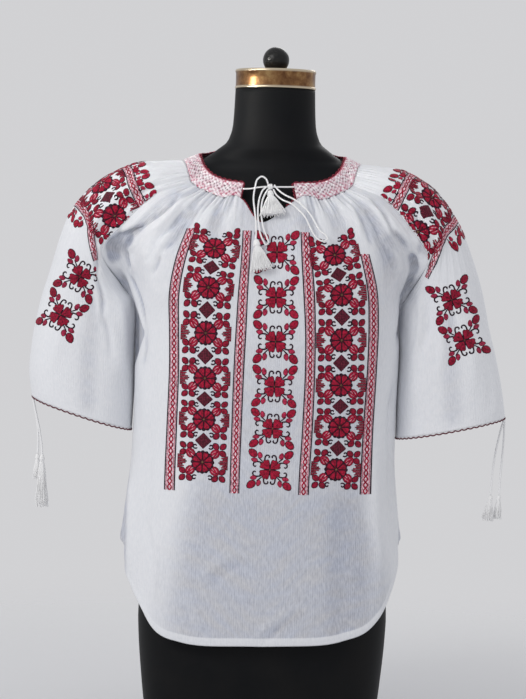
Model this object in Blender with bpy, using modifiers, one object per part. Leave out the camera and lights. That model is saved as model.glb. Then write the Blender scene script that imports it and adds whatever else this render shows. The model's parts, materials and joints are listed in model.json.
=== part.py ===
"""Romanian ie blouse worn on a limbless dress form.

Sizes are in millimetres up to the last step of each builder, where MM turns them into metres.
X runs to the viewer's right, the front of the blouse faces -Y, and Z = 0 is the
underside of the base plate.  "Left" and "right" are the viewer's.
"""
import math

import bmesh
import bpy
import numpy as np
from mathutils import Matrix, Vector

MM = 0.001
MERGE = 0.00001

# ------------------------------------------------------------------ cloth sizes
WALL = 1.2            # thickness of the gathered cloth
SEAM = 0.5            # gap left between two edges at a seam
FOLD_EASE = 1.8       # extra draw where two walls fold together
FINE_ROWS = 4         # rows below the neck with twice the columns
YOKE_ROWS = 9         # rows from the neck to the underarm, alike on all panels so that seams match
BODY_ROWS = 11        # rows from the underarm to the hem
TUBE_ROWS = 6         # rows from the underarm to the cuff
BODY_COLUMNS = 30
SLEEVE_COLUMNS = 22

# Gathers: how many each panel has, their height from the middle, and where they fade (in v).
FRONT_GATHERS = 15
BACK_GATHERS = 15
SLEEVE_GATHERS = 10
GATHER = 1.7          # one fine gather at the neck
SWELL = 2.3           # the wider folds that pairs of gathers run into
FINE_FADE = (0.12, 0.42)
WIDE_RISE = (0.05, 0.40)
WIDE_FADE = (0.55, 1.05)

# Yoke: five stations from the neckband (0) to the underarm (1).
YOKE = (0.0, 0.25, 0.5, 0.75, 1.0)
# The right side hangs a little closer to the body than the left.
RIGHT_SCALE = (0.97, 0.965, 0.95, 0.925, 0.945)

# Guide lines of the left half of the front, centre to raglan seam:
# share of the half width, then (x outwards, y, z) at each yoke station.  The slit's right corner
# sits nearer the centre, so it has a line of its own.
FRONT_CENTRE = ((-12, -104, 665), (-9, -111, 650), (-6, -119, 628), (-3, -126, 602), (0, -128, 575))
SLIT_SHARE = 0.16
RIGHT_CORNER = ((30, -90, 695), (34, -102, 674), (38, -114, 646), (40, -123, 612), (41, -126, 575))
FRONT_GUIDES = (
    (SLIT_SHARE, ((38, -89, 693), (40, -102, 672), (42, -114, 645), (43, -123, 612), (44, -126, 575))),
    (0.44, ((64, -79, 695), (76, -97, 676), (86, -108, 648), (92, -118, 613), (94, -120, 575))),
    (0.70, ((86, -66, 703), (106, -82, 686), (130, -92, 655), (150, -94, 616), (150, -86, 575))),
    (0.86, ((97, -58, 708), (125, -72, 694), (162, -76, 660), (187, -46, 622), (176, -32, 575))),
    (1.00, ((105, -50, 714), (143, -60, 700), (186, -64, 661), (216, -56, 622), (190, -9, 575))),
)
# The same for the back.
BACK_CENTRE = ((0, 82, 752), (0, 92, 722), (0, 100, 680), (0, 104, 630), (0, 106, 575))
BACK_GUIDES = (
    (0.16, ((19, 81, 752), (22, 92, 722), (25, 100, 680), (28, 104, 630), (29, 106, 575))),
    (0.44, ((52, 72, 749), (62, 86, 720), (72, 96, 680), (80, 102, 630), (84, 102, 575))),
    (0.70, ((86, 57, 745), (104, 72, 722), (126, 84, 682), (146, 88, 630), (148, 76, 575))),
    (0.86, ((97, 49, 743), (124, 63, 723), (160, 68, 686), (187, 46, 634), (176, 32, 575))),
    (1.00, ((106, 40, 742), (143, 52, 728), (186, 58, 690), (216, 52, 636), (190, 9, 575))),
)

UNDERARM = FRONT_CENTRE[-1][2]

# Body below the underarm: height, half width left and right, depth of front and back.
BODY = (
    (590, 175, 168, 128, 106),
    (540, 172, 167, 128, 103),
    (500, 172, 166, 124, 100),
    (430, 171, 164.5, 118, 99),
    (390, 172, 164.5, 115, 101),
    (345, 176, 167, 113, 107),
    (300, 181, 172, 113, 114),
    (257, 187, 177, 114, 118),
    (225, 183, 179, 115, 120),
    (175, 182, 182, 116, 121),
    (128, 182, 183, 117, 121),
)
BODY_ROUND = 2.4      # exponent of the body's section
# Shirt-tail hem: angle from the centre line (degrees) and height.
HEM = ((0, 131), (30, 135), (45, 148), (55, 171), (65, 198), (75, 226), (90, 257))
HEM_SKEW = 0.035      # the hem rises this much towards the right
BODY_KEYS = (0.1, 0.25, 0.45, 0.65, 0.85, 1.0)   # shares of the way from underarm to hem

# Shoulder line of each sleeve at the yoke stations: x outwards, z.
SHOULDER = {
    -1: ((117, 741), (168, 738), (215, 721), (262, 672), (289, 585)),
    1: ((113, 741), (160, 737), (204, 718), (241, 672), (273, 587)),
}
SLEEVE_BULGE = (0, 3, 7, 14, 50)
# Sleeve tube below the underarm: inner x and z, outer x and z, half depth.
SLEEVE_TUBE = {
    -1: ((180, 559, 296, 562, 56), (175.2, 536, 301, 540, 58), (174.6, 498, 307, 505, 60),
         (174, 450, 310, 468, 60), (176, 393, 306, 433, 60)),
    1: ((175, 559, 279, 562, 56), (170.4, 536, 284, 538, 58), (169.4, 495, 294, 499, 60),
        (168, 445, 303, 458, 60), (168, 390, 309, 420, 60)),
}
SLEEVE_KEYS = (1.1, 1.25, 1.5, 1.75, 2.0)

# Long soft folds: (u, half width in u, depth, v start, v end); a negative depth is a trough.
FRONT_FOLDS = (
    (-0.80, 0.055, 5.0, 1.55, 2.05),
    (-0.62, 0.070, -4.0, 1.35, 2.05),
    (-0.40, 0.060, 3.0, 1.60, 2.05),
    (0.34, 0.070, -3.4, 1.50, 2.05),
    (0.58, 0.060, 4.2, 1.40, 2.05),
    (0.80, 0.060, -4.2, 1.20, 1.90),
)
BACK_FOLDS = (
    (-0.72, 0.06, 5.0, 1.20, 2.05),
    (-0.45, 0.07, -4.0, 1.10, 2.05),
    (-0.16, 0.06, 4.2, 1.30, 2.05),
    (0.12, 0.06, -4.0, 1.20, 2.05),
    (0.40, 0.07, 4.8, 1.10, 2.05),
    (0.70, 0.06, -4.2, 1.30, 2.05),
)
SLEEVE_FOLDS = {
    -1: ((0.12, 0.035, 4.0, 0.95, 1.75), (0.22, 0.045, -3.5, 0.9, 2.05), (0.36, 0.05, 3.0, 1.1, 2.05),
         (0.62, 0.05, -3.0, 0.9, 2.05), (0.80, 0.05, 3.5, 0.9, 2.05)),
    1: ((0.13, 0.035, 3.5, 0.95, 1.85), (0.25, 0.05, -3.5, 1.0, 2.05), (0.40, 0.05, 2.6, 1.2, 2.05),
        (0.64, 0.05, -3.0, 0.9, 2.05), (0.82, 0.05, 3.0, 0.9, 2.05)),
}

# Neckband: lower and upper edge (x outwards, y, z) from the front end to the centre back.
BAND_RIGHT_END = ((30, -90, 695), (26, -76, 715))
BAND = (
    ((38, -89, 693), (37, -76, 714)),
    ((64, -79, 695), (59, -66, 717)),
    ((86, -66, 703), (76, -53, 723)),
    ((105, -50, 714), (88, -37, 734)),
    ((112, -33, 733), (93, -19, 744)),
    ((117, 0, 741), (95, 0, 752)),
    ((106, 40, 742), (87, 30, 757)),
    ((86, 57, 745), (71, 44, 762)),
    ((52, 72, 749), (42, 56, 766)),
    ((0, 82, 752), (0, 64, 769)),
)
BAND_WALL = 1.8
BAND_PUFF = 1.1       # height of the smocking over the band
BAND_CELLS = 32       # smocked cells along the band
BAND_ROWS = 4         # rows of smocking points across it
BAND_LIFT = 1.0       # gap from the cloth's neck edge to the band

# ------------------------------------------------------------------ dress form
# Height, half width, front depth, back depth, exponent of the section.
FORM = (
    (12.3, 149, 92, 95, 2.3),
    (50, 154, 95, 98, 2.3),
    (110, 160, 99, 104, 2.3),
    (160, 162.5, 100, 108, 2.3),
    (205, 157, 99, 108, 2.3),
    (255, 143, 92, 101, 2.3),
    (300, 128, 84, 88, 2.3),
    (345, 120, 79, 75, 2.3),
    (400, 123, 82, 70, 2.3),
    (500, 140, 98, 78, 2.3),
    (575, 152, 114, 88, 2.3),
    (640, 166, 103, 92, 2.2),
    (670, 175, 90, 90, 2.0),
    (694, 180, 76, 86, 1.65),
    (704, 181, 72, 83, 1.45),
    (714, 178, 67, 80, 1.3),
    (722, 167, 61, 77, 1.3),
    (728, 150, 56, 74, 1.4),
    (733, 132, 53.5, 71, 1.5),
    (738, 112, 52.5, 68, 1.65),
    (744, 94, 50, 64, 1.8),
    (751, 84, 51, 60, 1.95),
    (758, 75, 53, 59, 2.0),
    (767, 62, 53, 57, 2.0),
    (784, 55, 52.5, 54.5, 2.0),
    (805, 52.5, 51.5, 52.5, 2.0),
    (836.2, 51.5, 51.2, 51.5, 2.0),
)
FORM_COLUMNS = 26

# Turned pieces: (radius, z) down the outer side.
CAP_PROFILE = ((0, 858.0), (47.6, 858.0), (48.6, 860.6), (50.6, 861.4), (52.2, 860.2), (52.2, 857.6),
               (51.4, 856.4), (51.4, 839.6), (52.4, 838.6), (52.4, 836.6), (0, 836.6))
KNOB_BASE = 858.3
KNOB_FOOT = (8.0, 9.5)          # radius of the foot at the bottom and where it meets the ball
KNOB_CENTRE = 874.2
KNOB_RADIUS = 17.0
BASE_HALF = (128.0, 92.0)       # half width and half depth of the oval base plate
BASE_THICK = 12.0

# ------------------------------------------------------------------ cords
LACE = 2.3            # diameter of the neck lace
TIE = 1.5             # diameter of the sleeve ties
CORD_STEP = 3.0       # spacing of a cord's points, in diameters
KNOT_CENTRE = (-4.0, -85.0, 709.5)
KNOT_HALF = (5.2, 4.0, 4.6)
LACES = {
    "lace_run_left": ((-37.9, -81.7, 706.5), (-28, -84.0, 707.0), (-19, -85.2, 708.8), (-9.6, -85.2, 709.8)),
    "lace_run_right": ((26.6, -82.0, 710.6), (20, -83.8, 710.2), (11, -85.2, 710.0), (1.6, -85.2, 709.8)),
    "lace_tail": ((-6.4, -86.3, 714.0), (-9.2, -87.4, 719.8), (-14.5, -88.4, 722.6), (-19.8, -89.6, 719.0),
                  (-22.6, -92.0, 709), (-24.2, -96.5, 696), (-22.4, -104.0, 680), (-20.4, -110.4, 665),
                  (-19.8, -115.8, 653), (-20.0, -121.2, 644.2)),
    "lace_loop_left": (
        (-6.2, -89.4, 706.8), (-9.4, -92.6, 701.5), (-12.8, -97.0, 693), (-14.0, -103.0, 682),
        (-13.2, -109.5, 669), (-10.2, -114.6, 656), (-5.4, -118.4, 644.5), (-4.2, -119.6, 639.5),
        (-7.2, -120.4, 637.2), (-10.2, -119.6, 641.5), (-14.2, -116.6, 650), (-16.6, -112.0, 662),
        (-18.2, -106.0, 675), (-18.0, -99.6, 687), (-15.6, -94.0, 699), (-12.0, -90.8, 706.6),
        (-8.4, -88.9, 709.6)),
    "lace_loop_right": (
        (0.4, -87.8, 706.8), (4.0, -91.6, 700.5), (12.0, -97.0, 694.0), (23.0, -101.0, 689.5),
        (32.5, -104.8, 682), (41.0, -109.4, 673), (47.0, -113.8, 661.5), (53.6, -117.4, 650),
        (58.4, -119.2, 645.4), (65.0, -119.8, 643.6), (69.6, -119.2, 646.2), (67.4, -118.4, 650.6),
        (60.6, -116.6, 655.4), (54.6, -113.4, 665.0), (48.0, -108.6, 675.6), (39.0, -103.8, 686.2),
        (27.0, -99.6, 694.6), (14.0, -95.0, 700.8), (6.4, -91.2, 706.4), (1.4, -88.2, 712.2)),
}
TIES = {
    "tie_left_short": ((-305.4, -5.6, 432.1), (-301.6, -6.6, 415), (-298.0, -7.4, 396), (-296.6, -7.5, 374),
                       (-297.0, -7.5, 357.6)),
    "tie_left_long": ((-304.2, -12.4, 431.6), (-300.0, -13.4, 413), (-294.4, -14.2, 388), (-291.2, -14.6, 368),
                      (-290.6, -14.6, 357.6)),
    "tie_right_short": ((307.6, -10.0, 418.8), (303.0, -9.4, 400), (297.4, -8.2, 370), (294.4, -7.6, 342),
                        (293.4, -7.6, 318.4)),
    "tie_right_long": ((308.6, -3.0, 419.3), (308.8, -2.0, 398), (307.4, -2, 368), (305.6, -2, 340),
                       (304.8, -2, 318.4)),
}
# Tassels: top of the head (x, y, z), head radius and height, strand length, spread across and
# forwards, columns, and the direction in which the tassel hangs.
TASSELS = {
    "tassel_upper": ((-3.6, -87.4, 705.2), 4.2, 9, 30, (14.5, 4.8), 8, (4.6, -25, -34)),
    "tassel_lower": ((-20.0, -121.8, 644.0), 4.4, 10, 32, (13.0, 4.2), 8, (9.0, -13.0, -42)),
    "tassel_left_short": ((-297.0, -7.5, 357.2), 2.6, 7, 26, (3.6, 3.6), 6, (0, 0, -1)),
    "tassel_left_long": ((-290.6, -14.6, 357.2), 3.0, 8, 62, (6.0, 5.0), 6, (1, -2, -70)),
    "tassel_right_short": ((293.4, -7.6, 318.0), 3.0, 7, 27, (6.2, 5.0), 6, (-4, -1, -34)),
    "tassel_right_long": ((304.8, -2.0, 318.0), 2.8, 7, 25, (4.0, 4.0), 6, (-2, 0, -32)),
}

# ------------------------------------------------------------------ materials
MATERIALS = {
    "cotton": ((0.78, 0.80, 0.86), 0.85, 0.0),
    "smocking": ((0.80, 0.42, 0.50), 0.85, 0.0),
    "white_cord": ((0.86, 0.86, 0.86), 0.8, 0.0),
    "form_black": ((0.012, 0.012, 0.014), 0.45, 0.0),
    "brass": ((0.62, 0.46, 0.20), 0.35, 1.0),
    "knob_black": ((0.01, 0.01, 0.011), 0.3, 0.0),
    "base_black": ((0.014, 0.014, 0.015), 0.4, 0.0),
}


# ------------------------------------------------------------------ reading curves
def smooth(keys, values, at):
    """Cubic curve through (keys, values), read at each number in `at`."""
    keys = np.asarray(keys, float)
    values = np.asarray(values, float)
    slopes = np.gradient(values, keys, axis=0)
    left = np.clip(np.searchsorted(keys, at, side="right") - 1, 0, len(keys) - 2)
    step = keys[left + 1] - keys[left]
    s = (at - keys[left]) / step
    s = s.reshape(s.shape + (1,) * (values.ndim - 1))
    step = step.reshape(s.shape)
    start = values[left] * (1 + 2 * s) * (1 - s) ** 2 + slopes[left] * step * s * (1 - s) ** 2
    end = values[left + 1] * s * s * (3 - 2 * s) + slopes[left + 1] * step * s * s * (s - 1)
    return start + end


def ramp(low, high, at):
    """0 below `low`, 1 above `high`, eased between."""
    s = np.clip((at - low) / (high - low), 0, 1)
    return s * s * (3 - 2 * s)


def blend_rows(keys, rows, v):
    """Point of each column at its own v, on a curve through the key rows that never overshoots them."""
    rows = np.asarray(rows)
    keys = np.asarray(keys)
    secants = np.diff(rows, axis=0) / np.diff(keys)[:, None, None]
    before, after = secants[:-1], secants[1:]
    same_way = before * after > 0
    inner = np.where(same_way, 2 * before * after / np.where(same_way, before + after, 1), 0)
    slopes = np.concatenate((secants[:1], inner, secants[-1:]))
    left = np.clip(np.searchsorted(keys, v, side="right") - 1, 0, len(keys) - 2)
    step = (keys[left + 1] - keys[left])[:, None]
    s = (v - keys[left])[:, None] / step
    column = np.arange(len(v))
    right = left + 1
    start = rows[left, column] * (1 + 2 * s) * (1 - s) ** 2 + slopes[left, column] * step * s * (1 - s) ** 2
    end = rows[right, column] * s * s * (3 - 2 * s) + slopes[right, column] * step * s * s * (s - 1)
    return start + end


# ------------------------------------------------------------------ front and back
def guide_row(centre, guides, station):
    """Shares and points of one yoke row, from the left seam to the right seam."""
    points = [(share, line[station]) for share, line in guides]
    left = [(-share, (-x, y, z)) for share, (x, y, z) in reversed(points)]
    right = [(share, (x * RIGHT_SCALE[station], y, z)) for share, (x, y, z) in points]
    if guides is FRONT_GUIDES:
        right[0] = (SLIT_SHARE, RIGHT_CORNER[station])
    row = left + [(0.0, centre[station])] + right
    return np.array([share for share, _ in row]), np.array([point for _, point in row], float)


def body_row(u, share, facing):
    """One row of the body, `share` of the way from the underarm to the hem."""
    angle = np.abs(u) * math.pi / 2
    hem = smooth([row[0] for row in HEM], [row[1] for row in HEM], np.degrees(angle))
    hem = hem + HEM_SKEW * BODY[-1][1] * np.sin(u * math.pi / 2) * np.cos(angle / 2)
    z = UNDERARM + (hem - UNDERARM) * share
    rising = list(reversed(BODY))
    heights = [row[0] for row in rising]
    left, right, front, back = (smooth(heights, [row[i] for row in rising], z) for i in (1, 2, 3, 4))
    width = np.where(u < 0, left, right)
    depth = front if facing < 0 else back
    x = np.sign(u) * width * np.sin(angle) ** (2 / BODY_ROUND)
    y = facing * depth * np.maximum(np.cos(angle), 0) ** (2 / BODY_ROUND)
    return np.stack((x, y, z), axis=1)


def body_panel(u, v, centre, guides, facing):
    """Bare surface of the front or back: u from seam to seam, v from neck (0) by underarm (1) to hem (2)."""
    rows = []
    for station in range(len(YOKE)):
        shares, line = guide_row(centre, guides, station)
        rows.append(smooth(shares, line, u))
    rows += [body_row(u, share, facing) for share in BODY_KEYS]
    keys = list(YOKE) + [1 + share for share in BODY_KEYS]
    return blend_rows(keys, rows, v)


def front_surface(u, v):
    return body_panel(u, v, FRONT_CENTRE, FRONT_GUIDES, -1)


def back_surface(u, v):
    return body_panel(u, v, BACK_CENTRE, BACK_GUIDES, 1)


# ------------------------------------------------------------------ sleeves
def sleeve_surface(side):
    """Surface function of one sleeve: u from front seam (0) over the shoulder to back seam (1)."""
    def surface(u, v):
        s = 1 - np.abs(2 * u - 1)
        front = u < 0.5
        rows = []
        for station, key in enumerate(YOKE):
            scale = 1.0 if side < 0 else RIGHT_SCALE[station]
            fx, fy, fz = FRONT_GUIDES[-1][1][station]
            bx, by, bz = BACK_GUIDES[-1][1][station]
            ox, oz = SHOULDER[side][station]
            closed = ramp(0.6, 1.0, key)
            across = s * (1 - closed) + (1 - np.cos(math.pi * s)) / 2 * closed
            climb = np.sin(math.pi * s / 2) * (1 - closed) + (1 - np.cos(math.pi * s)) / 2 * closed
            seam_x = np.where(front, fx, bx) * scale
            seam_y = np.where(front, fy, by)
            seam_z = np.where(front, fz, bz)
            bulge = SLEEVE_BULGE[station] * np.sin(math.pi * s)
            x = seam_x + (ox - seam_x) * across
            y = seam_y * np.cos(math.pi * s / 2) + np.where(front, -bulge, bulge)
            z = seam_z + (oz - seam_z) * climb
            rows.append(np.stack((side * x, y, z), axis=1))
        for inner_x, inner_z, outer_x, outer_z, depth in SLEEVE_TUBE[side]:
            across = (1 - np.cos(math.pi * s)) / 2
            bulge = depth * np.sin(math.pi * s)
            x = inner_x + (outer_x - inner_x) * across
            z = inner_z + (outer_z - inner_z) * across
            rows.append(np.stack((side * x, np.where(front, -bulge, bulge), z), axis=1))
        return blend_rows(list(YOKE) + list(SLEEVE_KEYS), rows, v)
    return surface


# ------------------------------------------------------------------ gathers and folds
def fold_heights(folds, u, v):
    """Sum of the long soft folds at each (u, v)."""
    total = np.zeros_like(u)
    for middle, width, depth, start, end in folds:
        length = ramp(start, start + 0.25, v) * (1 - ramp(end - 0.15, end + 0.05, v))
        total += depth * np.exp(-((u - middle) / width) ** 2) * length
    return total


def gather_heights(u, v, low, high, count):
    """Gathers at the neck that run together in pairs further down."""
    share = np.clip((u - low) / (high - low), 0, 1)
    fine = np.cos(2 * math.pi * count * share) * (1 - ramp(*FINE_FADE, v))
    uneven = 1 + 0.35 * np.sin(9.3 * share + 1.1) + 0.25 * np.sin(23.1 * share)
    wide = np.cos(math.pi * count * share + 0.7 * np.sin(5 * share)) * uneven
    wide = wide * ramp(*WIDE_RISE, v) * (1 - ramp(*WIDE_FADE, v))
    return GATHER * fine + SWELL * wide


def beside(u, places, width):
    """1 away from each of `places`, 0 on them."""
    kept = np.ones_like(u)
    for place in places:
        kept = kept * ramp(0.25 * width, width, np.abs(u - place))
    return kept


def front_heights(u, v):
    gathers = gather_heights(u, v, -1, 1, FRONT_GATHERS)
    below_slit = ramp(0.7, 1.0, v)
    beside_slit = ramp(0.10, 0.24, np.abs(u)) * (1 - below_slit) + below_slit
    folds = fold_heights(FRONT_FOLDS, u, v) * beside(u, (-1, 1), 0.1)
    return gathers * beside_slit * beside(u, (-1, 1), 0.12) + folds


def back_heights(u, v):
    gathers = gather_heights(u, v, -1, 1, BACK_GATHERS)
    return (gathers + fold_heights(BACK_FOLDS, u, v)) * beside(u, (-1, 1), 0.12)


def sleeve_heights(side):
    def heights(u, v):
        gathers = gather_heights(u, v, 0, 1, SLEEVE_GATHERS)
        return (gathers + fold_heights(SLEEVE_FOLDS[side], u, v)) * beside(u, (0, 1), 0.09)
    return heights


def into_panel(surface, edge, inward, v):
    """Vector per unit of u from a side edge into its panel."""
    probe = 0.003
    return (surface(np.full_like(v, edge + inward * probe), v) - surface(np.full_like(v, edge), v)) / probe


def across_seam(mates, v):
    """Direction into the panel on the other side of a seam: one mate above the underarm, one below."""
    above, below = (into_panel(*mate, v) for mate in mates)
    return np.where((v < 1)[:, None], above, below)


def drawn_back(surface, u, v, seams):
    """Points of a surface whose side edges are drawn back from their seams, more where the two walls fold."""
    base = surface(u, v)
    for edge, inward, reach, mates in seams:
        own = into_panel(surface, edge, inward, v)
        other = across_seam(mates, v)
        stretch = np.linalg.norm(own, axis=1)
        cosine = np.sum(own * other, axis=1) / (stretch * np.linalg.norm(other, axis=1))
        fold = np.sqrt(np.maximum(1 + cosine, 0) / np.maximum(1 - cosine, 0.05))
        trim = SEAM / 2 + WALL / 2 * FOLD_EASE * fold
        near = np.clip(1 - np.abs(u - edge) / reach, 0, 1) ** 2
        moved = surface(u + inward * near * trim / stretch, v)
        base = np.where((near > 0)[:, None], moved, base)
    return base


def unit_normals(surface, u, v, out):
    """Unit normals of a surface; `out` is 1 or -1 to turn them to the outside."""
    step = 0.004
    across = surface(u + step, v) - surface(u - step, v)
    along = surface(u, v + step) - surface(u, v - step)
    normal = out * np.cross(across, along)
    return normal / np.maximum(np.linalg.norm(normal, axis=1, keepdims=True), 1e-9)


def cloth(name, surface, heights, out, seams, tube=False):
    """Gathered cloth panel: a grid laid on a surface, finer along the neck, then given its wall."""
    columns = SLEEVE_COLUMNS if tube else BODY_COLUMNS
    rows = YOKE_ROWS + (TUBE_ROWS if tube else BODY_ROWS)
    mesh = bmesh.new()
    bmesh.ops.create_grid(mesh, x_segments=columns, y_segments=rows, size=1)
    pitch = 2 / rows
    along_neck = [edge for edge in mesh.edges
                  if abs(edge.verts[0].co.y - edge.verts[1].co.y) < pitch / 4
                  and edge.verts[0].co.y > 1 - pitch * (FINE_ROWS + 0.5)]
    bmesh.ops.subdivide_edges(mesh, edges=along_neck, cuts=1, use_single_edge=True)
    low, high = seams[0][0], seams[1][0]
    flat = np.array([vert.co[:] for vert in mesh.verts])
    u = low + (high - low) * (flat[:, 0] + 1) / 2
    v = np.interp((1 - flat[:, 1]) / 2 * rows, (0, YOKE_ROWS, rows), (0, 1, 2))
    base = drawn_back(surface, u, v, seams)
    if tube:
        base = np.where((v > 1.001)[:, None], surface(u, v), base)
    normal = unit_normals(surface, np.clip(u, low + 0.01, high - 0.01), np.clip(v, 0.01, 1.99), out)
    for vert, point in zip(mesh.verts, base + normal * heights(u, v)[:, None]):
        vert.co = Vector(point) * MM
    if tube:
        below = [vert for vert, at in zip(mesh.verts, v) if at > 1.05]
        bmesh.ops.remove_doubles(mesh, verts=below, dist=MERGE)
    bmesh.ops.triangulate(mesh, faces=[face for face in mesh.faces if len(face.verts) > 4])
    item = mesh_object(name, mesh, "cotton")
    wall = item.modifiers.new("wall", "SOLIDIFY")
    wall.thickness = WALL * MM
    wall.offset = 0


def side_seams(side):
    """Seams of the front, back and one sleeve on one side: edge, way in, how far the draw reaches, mates."""
    front = (front_surface, side, -side)
    back = (back_surface, side, -side)
    sleeve_front = (sleeve_surface(side), 0, 1)
    sleeve_back = (sleeve_surface(side), 1, -1)
    return {
        "front": (side, -side, 0.24, (sleeve_front, back)),
        "back": (side, -side, 0.24, (sleeve_back, front)),
        "sleeve_front": (0, 1, 0.12, (front, front)),
        "sleeve_back": (1, -1, 0.12, (back, back)),
    }


# ------------------------------------------------------------------ small builders
def material(name):
    found = bpy.data.materials.get(name)
    if found:
        return found
    colour, roughness, metallic = MATERIALS[name]
    made = bpy.data.materials.new(name)
    made.use_nodes = True
    shader = made.node_tree.nodes["Principled BSDF"]
    shader.inputs["Base Color"].default_value = (*colour, 1)
    shader.inputs["Roughness"].default_value = roughness
    shader.inputs["Metallic"].default_value = metallic
    return made


def place(name, data, material_name):
    data.materials.append(material(material_name))
    item = bpy.data.objects.new(name, data)
    PARTS.objects.link(item)
    return item


def mesh_object(name, mesh, material_name, smooth_faces=True):
    bmesh.ops.recalc_face_normals(mesh, faces=mesh.faces)
    for face in mesh.faces:
        face.smooth = smooth_faces
    data = bpy.data.meshes.new(name)
    mesh.to_mesh(data)
    mesh.free()
    return place(name, data, material_name)


def ring_solid(columns, rows, point_at):
    """Closed body on a grid wrapped round in u; its two ends are capped."""
    mesh = bmesh.new()
    bmesh.ops.create_grid(mesh, x_segments=columns, y_segments=rows, size=1)
    for vert in mesh.verts:
        u = (vert.co.x + 1) / 2
        v = (vert.co.y + 1) / 2
        vert.co = Vector(point_at(u, v)) * MM
    bmesh.ops.remove_doubles(mesh, verts=mesh.verts, dist=MERGE)
    bmesh.ops.holes_fill(mesh, edges=[edge for edge in mesh.edges if edge.is_boundary])
    bmesh.ops.recalc_face_normals(mesh, faces=mesh.faces)
    return mesh


def turned(name, profile, material_name, steps):
    """Turned piece: a profile down its outer side with a Screw modifier."""
    data = bpy.data.meshes.new(name)
    points = [(radius * MM, 0, z * MM) for radius, z in profile]
    data.from_pydata(points, [(i, i + 1) for i in range(len(points) - 1)], [])
    item = place(name, data, material_name)
    screw = item.modifiers.new("turn", "SCREW")
    screw.steps = steps
    screw.render_steps = steps
    screw.use_merge_vertices = True
    screw.merge_threshold = MERGE
    screw.use_smooth_shade = True
    return item


# ------------------------------------------------------------------ dress form
def form_torso():
    table = np.array(FORM)

    def point_at(u, v):
        z, half, front, back, power = table[round(v * (len(FORM) - 1))]
        angle = 2 * math.pi * u
        sine, cosine = math.sin(angle), math.cos(angle)
        depth = front if cosine > 0 else back
        x = half * math.copysign(abs(sine) ** (2 / power), sine)
        y = -depth * math.copysign(abs(cosine) ** (2 / power), cosine)
        return x, y, z

    mesh = ring_solid(FORM_COLUMNS, len(FORM) - 1, point_at)
    mesh_object("form_torso", mesh, "form_black")


def form_fittings():
    turned("neck_cap", CAP_PROFILE, "brass", 24)
    foot_radius, foot_height = KNOB_FOOT
    start = math.asin((KNOB_BASE + foot_height - 6.0 - KNOB_CENTRE) / KNOB_RADIUS)
    ball = [(KNOB_RADIUS * math.cos(angle), KNOB_CENTRE + KNOB_RADIUS * math.sin(angle))
            for angle in np.linspace(math.pi / 2, start, 9)]
    ball[0] = (0, ball[0][1])
    turned("neck_knob", ball + [(foot_radius, KNOB_BASE), (0, KNOB_BASE)], "knob_black", 20)

    mesh = bmesh.new()
    half_x, half_y = BASE_HALF
    bmesh.ops.create_cone(mesh, cap_ends=True, segments=40, radius1=1, radius2=1, depth=1)
    shape = Matrix.Diagonal((half_x * MM, half_y * MM, BASE_THICK * MM, 1))
    lift = Matrix.Translation((0, 0, BASE_THICK * MM / 2))
    bmesh.ops.transform(mesh, matrix=lift @ shape, verts=mesh.verts)
    plate = mesh_object("base_plate", mesh, "base_black", smooth_faces=False)
    edge = plate.modifiers.new("edge", "BEVEL")
    edge.width = 2 * MM
    edge.segments = 1
    edge.limit_method = "ANGLE"


# ------------------------------------------------------------------ neckband
def neck_edge():
    """Points of the panels' neck edges from the slit's left corner round the back to its right corner."""
    corner = SLIT_SHARE
    steps = np.linspace(0, 1, 40)
    runs = (
        (front_surface, -corner, -1),
        (sleeve_surface(-1), 0, 1),
        (back_surface, -1, 1),
        (sleeve_surface(1), 1, 0),
        (front_surface, 1, corner),
    )
    neck = np.zeros(len(steps) - 1)
    edges = [surface(start + (end - start) * steps[1:], neck) for surface, start, end in runs]
    return np.concatenate(edges)


def along(line):
    """Share of a line's length at each of its points."""
    length = np.concatenate(([0], np.cumsum(np.linalg.norm(np.diff(line, axis=0), axis=1))))
    return length / length[-1]


def mirrored(points):
    left = [(-x, y, z) for x, y, z in points]
    right = [(x * RIGHT_SCALE[0], y, z) for x, y, z in points[-2::-1]]
    return np.array(left + right, float)


def neckband():
    """Band with a smocked outside over a plain inside, open at the front."""
    edge = neck_edge()
    edge_shares = along(edge)
    low_keys = mirrored([low for low, _ in BAND])
    high_keys = mirrored([high for _, high in BAND])
    low_keys[-1], high_keys[-1] = BAND_RIGHT_END
    high_shares = along(low_keys)
    columns = BAND_CELLS * 2
    sides = ([(across / BAND_ROWS, 1) for across in range(BAND_ROWS + 1)] + [(1, -1), (0, -1), (0, 1)])

    def band_point(u, across):
        below = np.array([np.interp(u, edge_shares, edge[:, axis]) for axis in range(3)])
        above = smooth(high_shares, high_keys, np.array([u]))[0]
        rise = (above - below) / np.linalg.norm(above - below)
        start = below + rise * BAND_LIFT
        return start + (above - start) * across

    mesh = bmesh.new()
    bmesh.ops.create_grid(mesh, x_segments=columns, y_segments=len(sides) - 1, size=1)
    for vert in mesh.verts:
        column = round((vert.co.x + 1) / 2 * columns)
        step = round((vert.co.y + 1) / 2 * (len(sides) - 1))
        across, side = sides[step]
        u = column / columns
        ahead = band_point(min(u + 0.01, 1), across)
        behind = band_point(max(u - 0.01, 0), across)
        outward = np.cross(band_point(u, 1) - band_point(u, 0), ahead - behind)
        outward /= np.linalg.norm(outward)
        raised = 0 < step < BAND_ROWS and (column + step) % 2 == 0
        lift = side * BAND_WALL / 2 + (BAND_PUFF if raised else 0)
        vert.co = Vector(band_point(u, across) + outward * lift) * MM
    bmesh.ops.remove_doubles(mesh, verts=mesh.verts, dist=MERGE)
    bmesh.ops.holes_fill(mesh, edges=[edge for edge in mesh.edges if edge.is_boundary])
    mesh_object("neckband", mesh, "smocking", smooth_faces=False)


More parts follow.
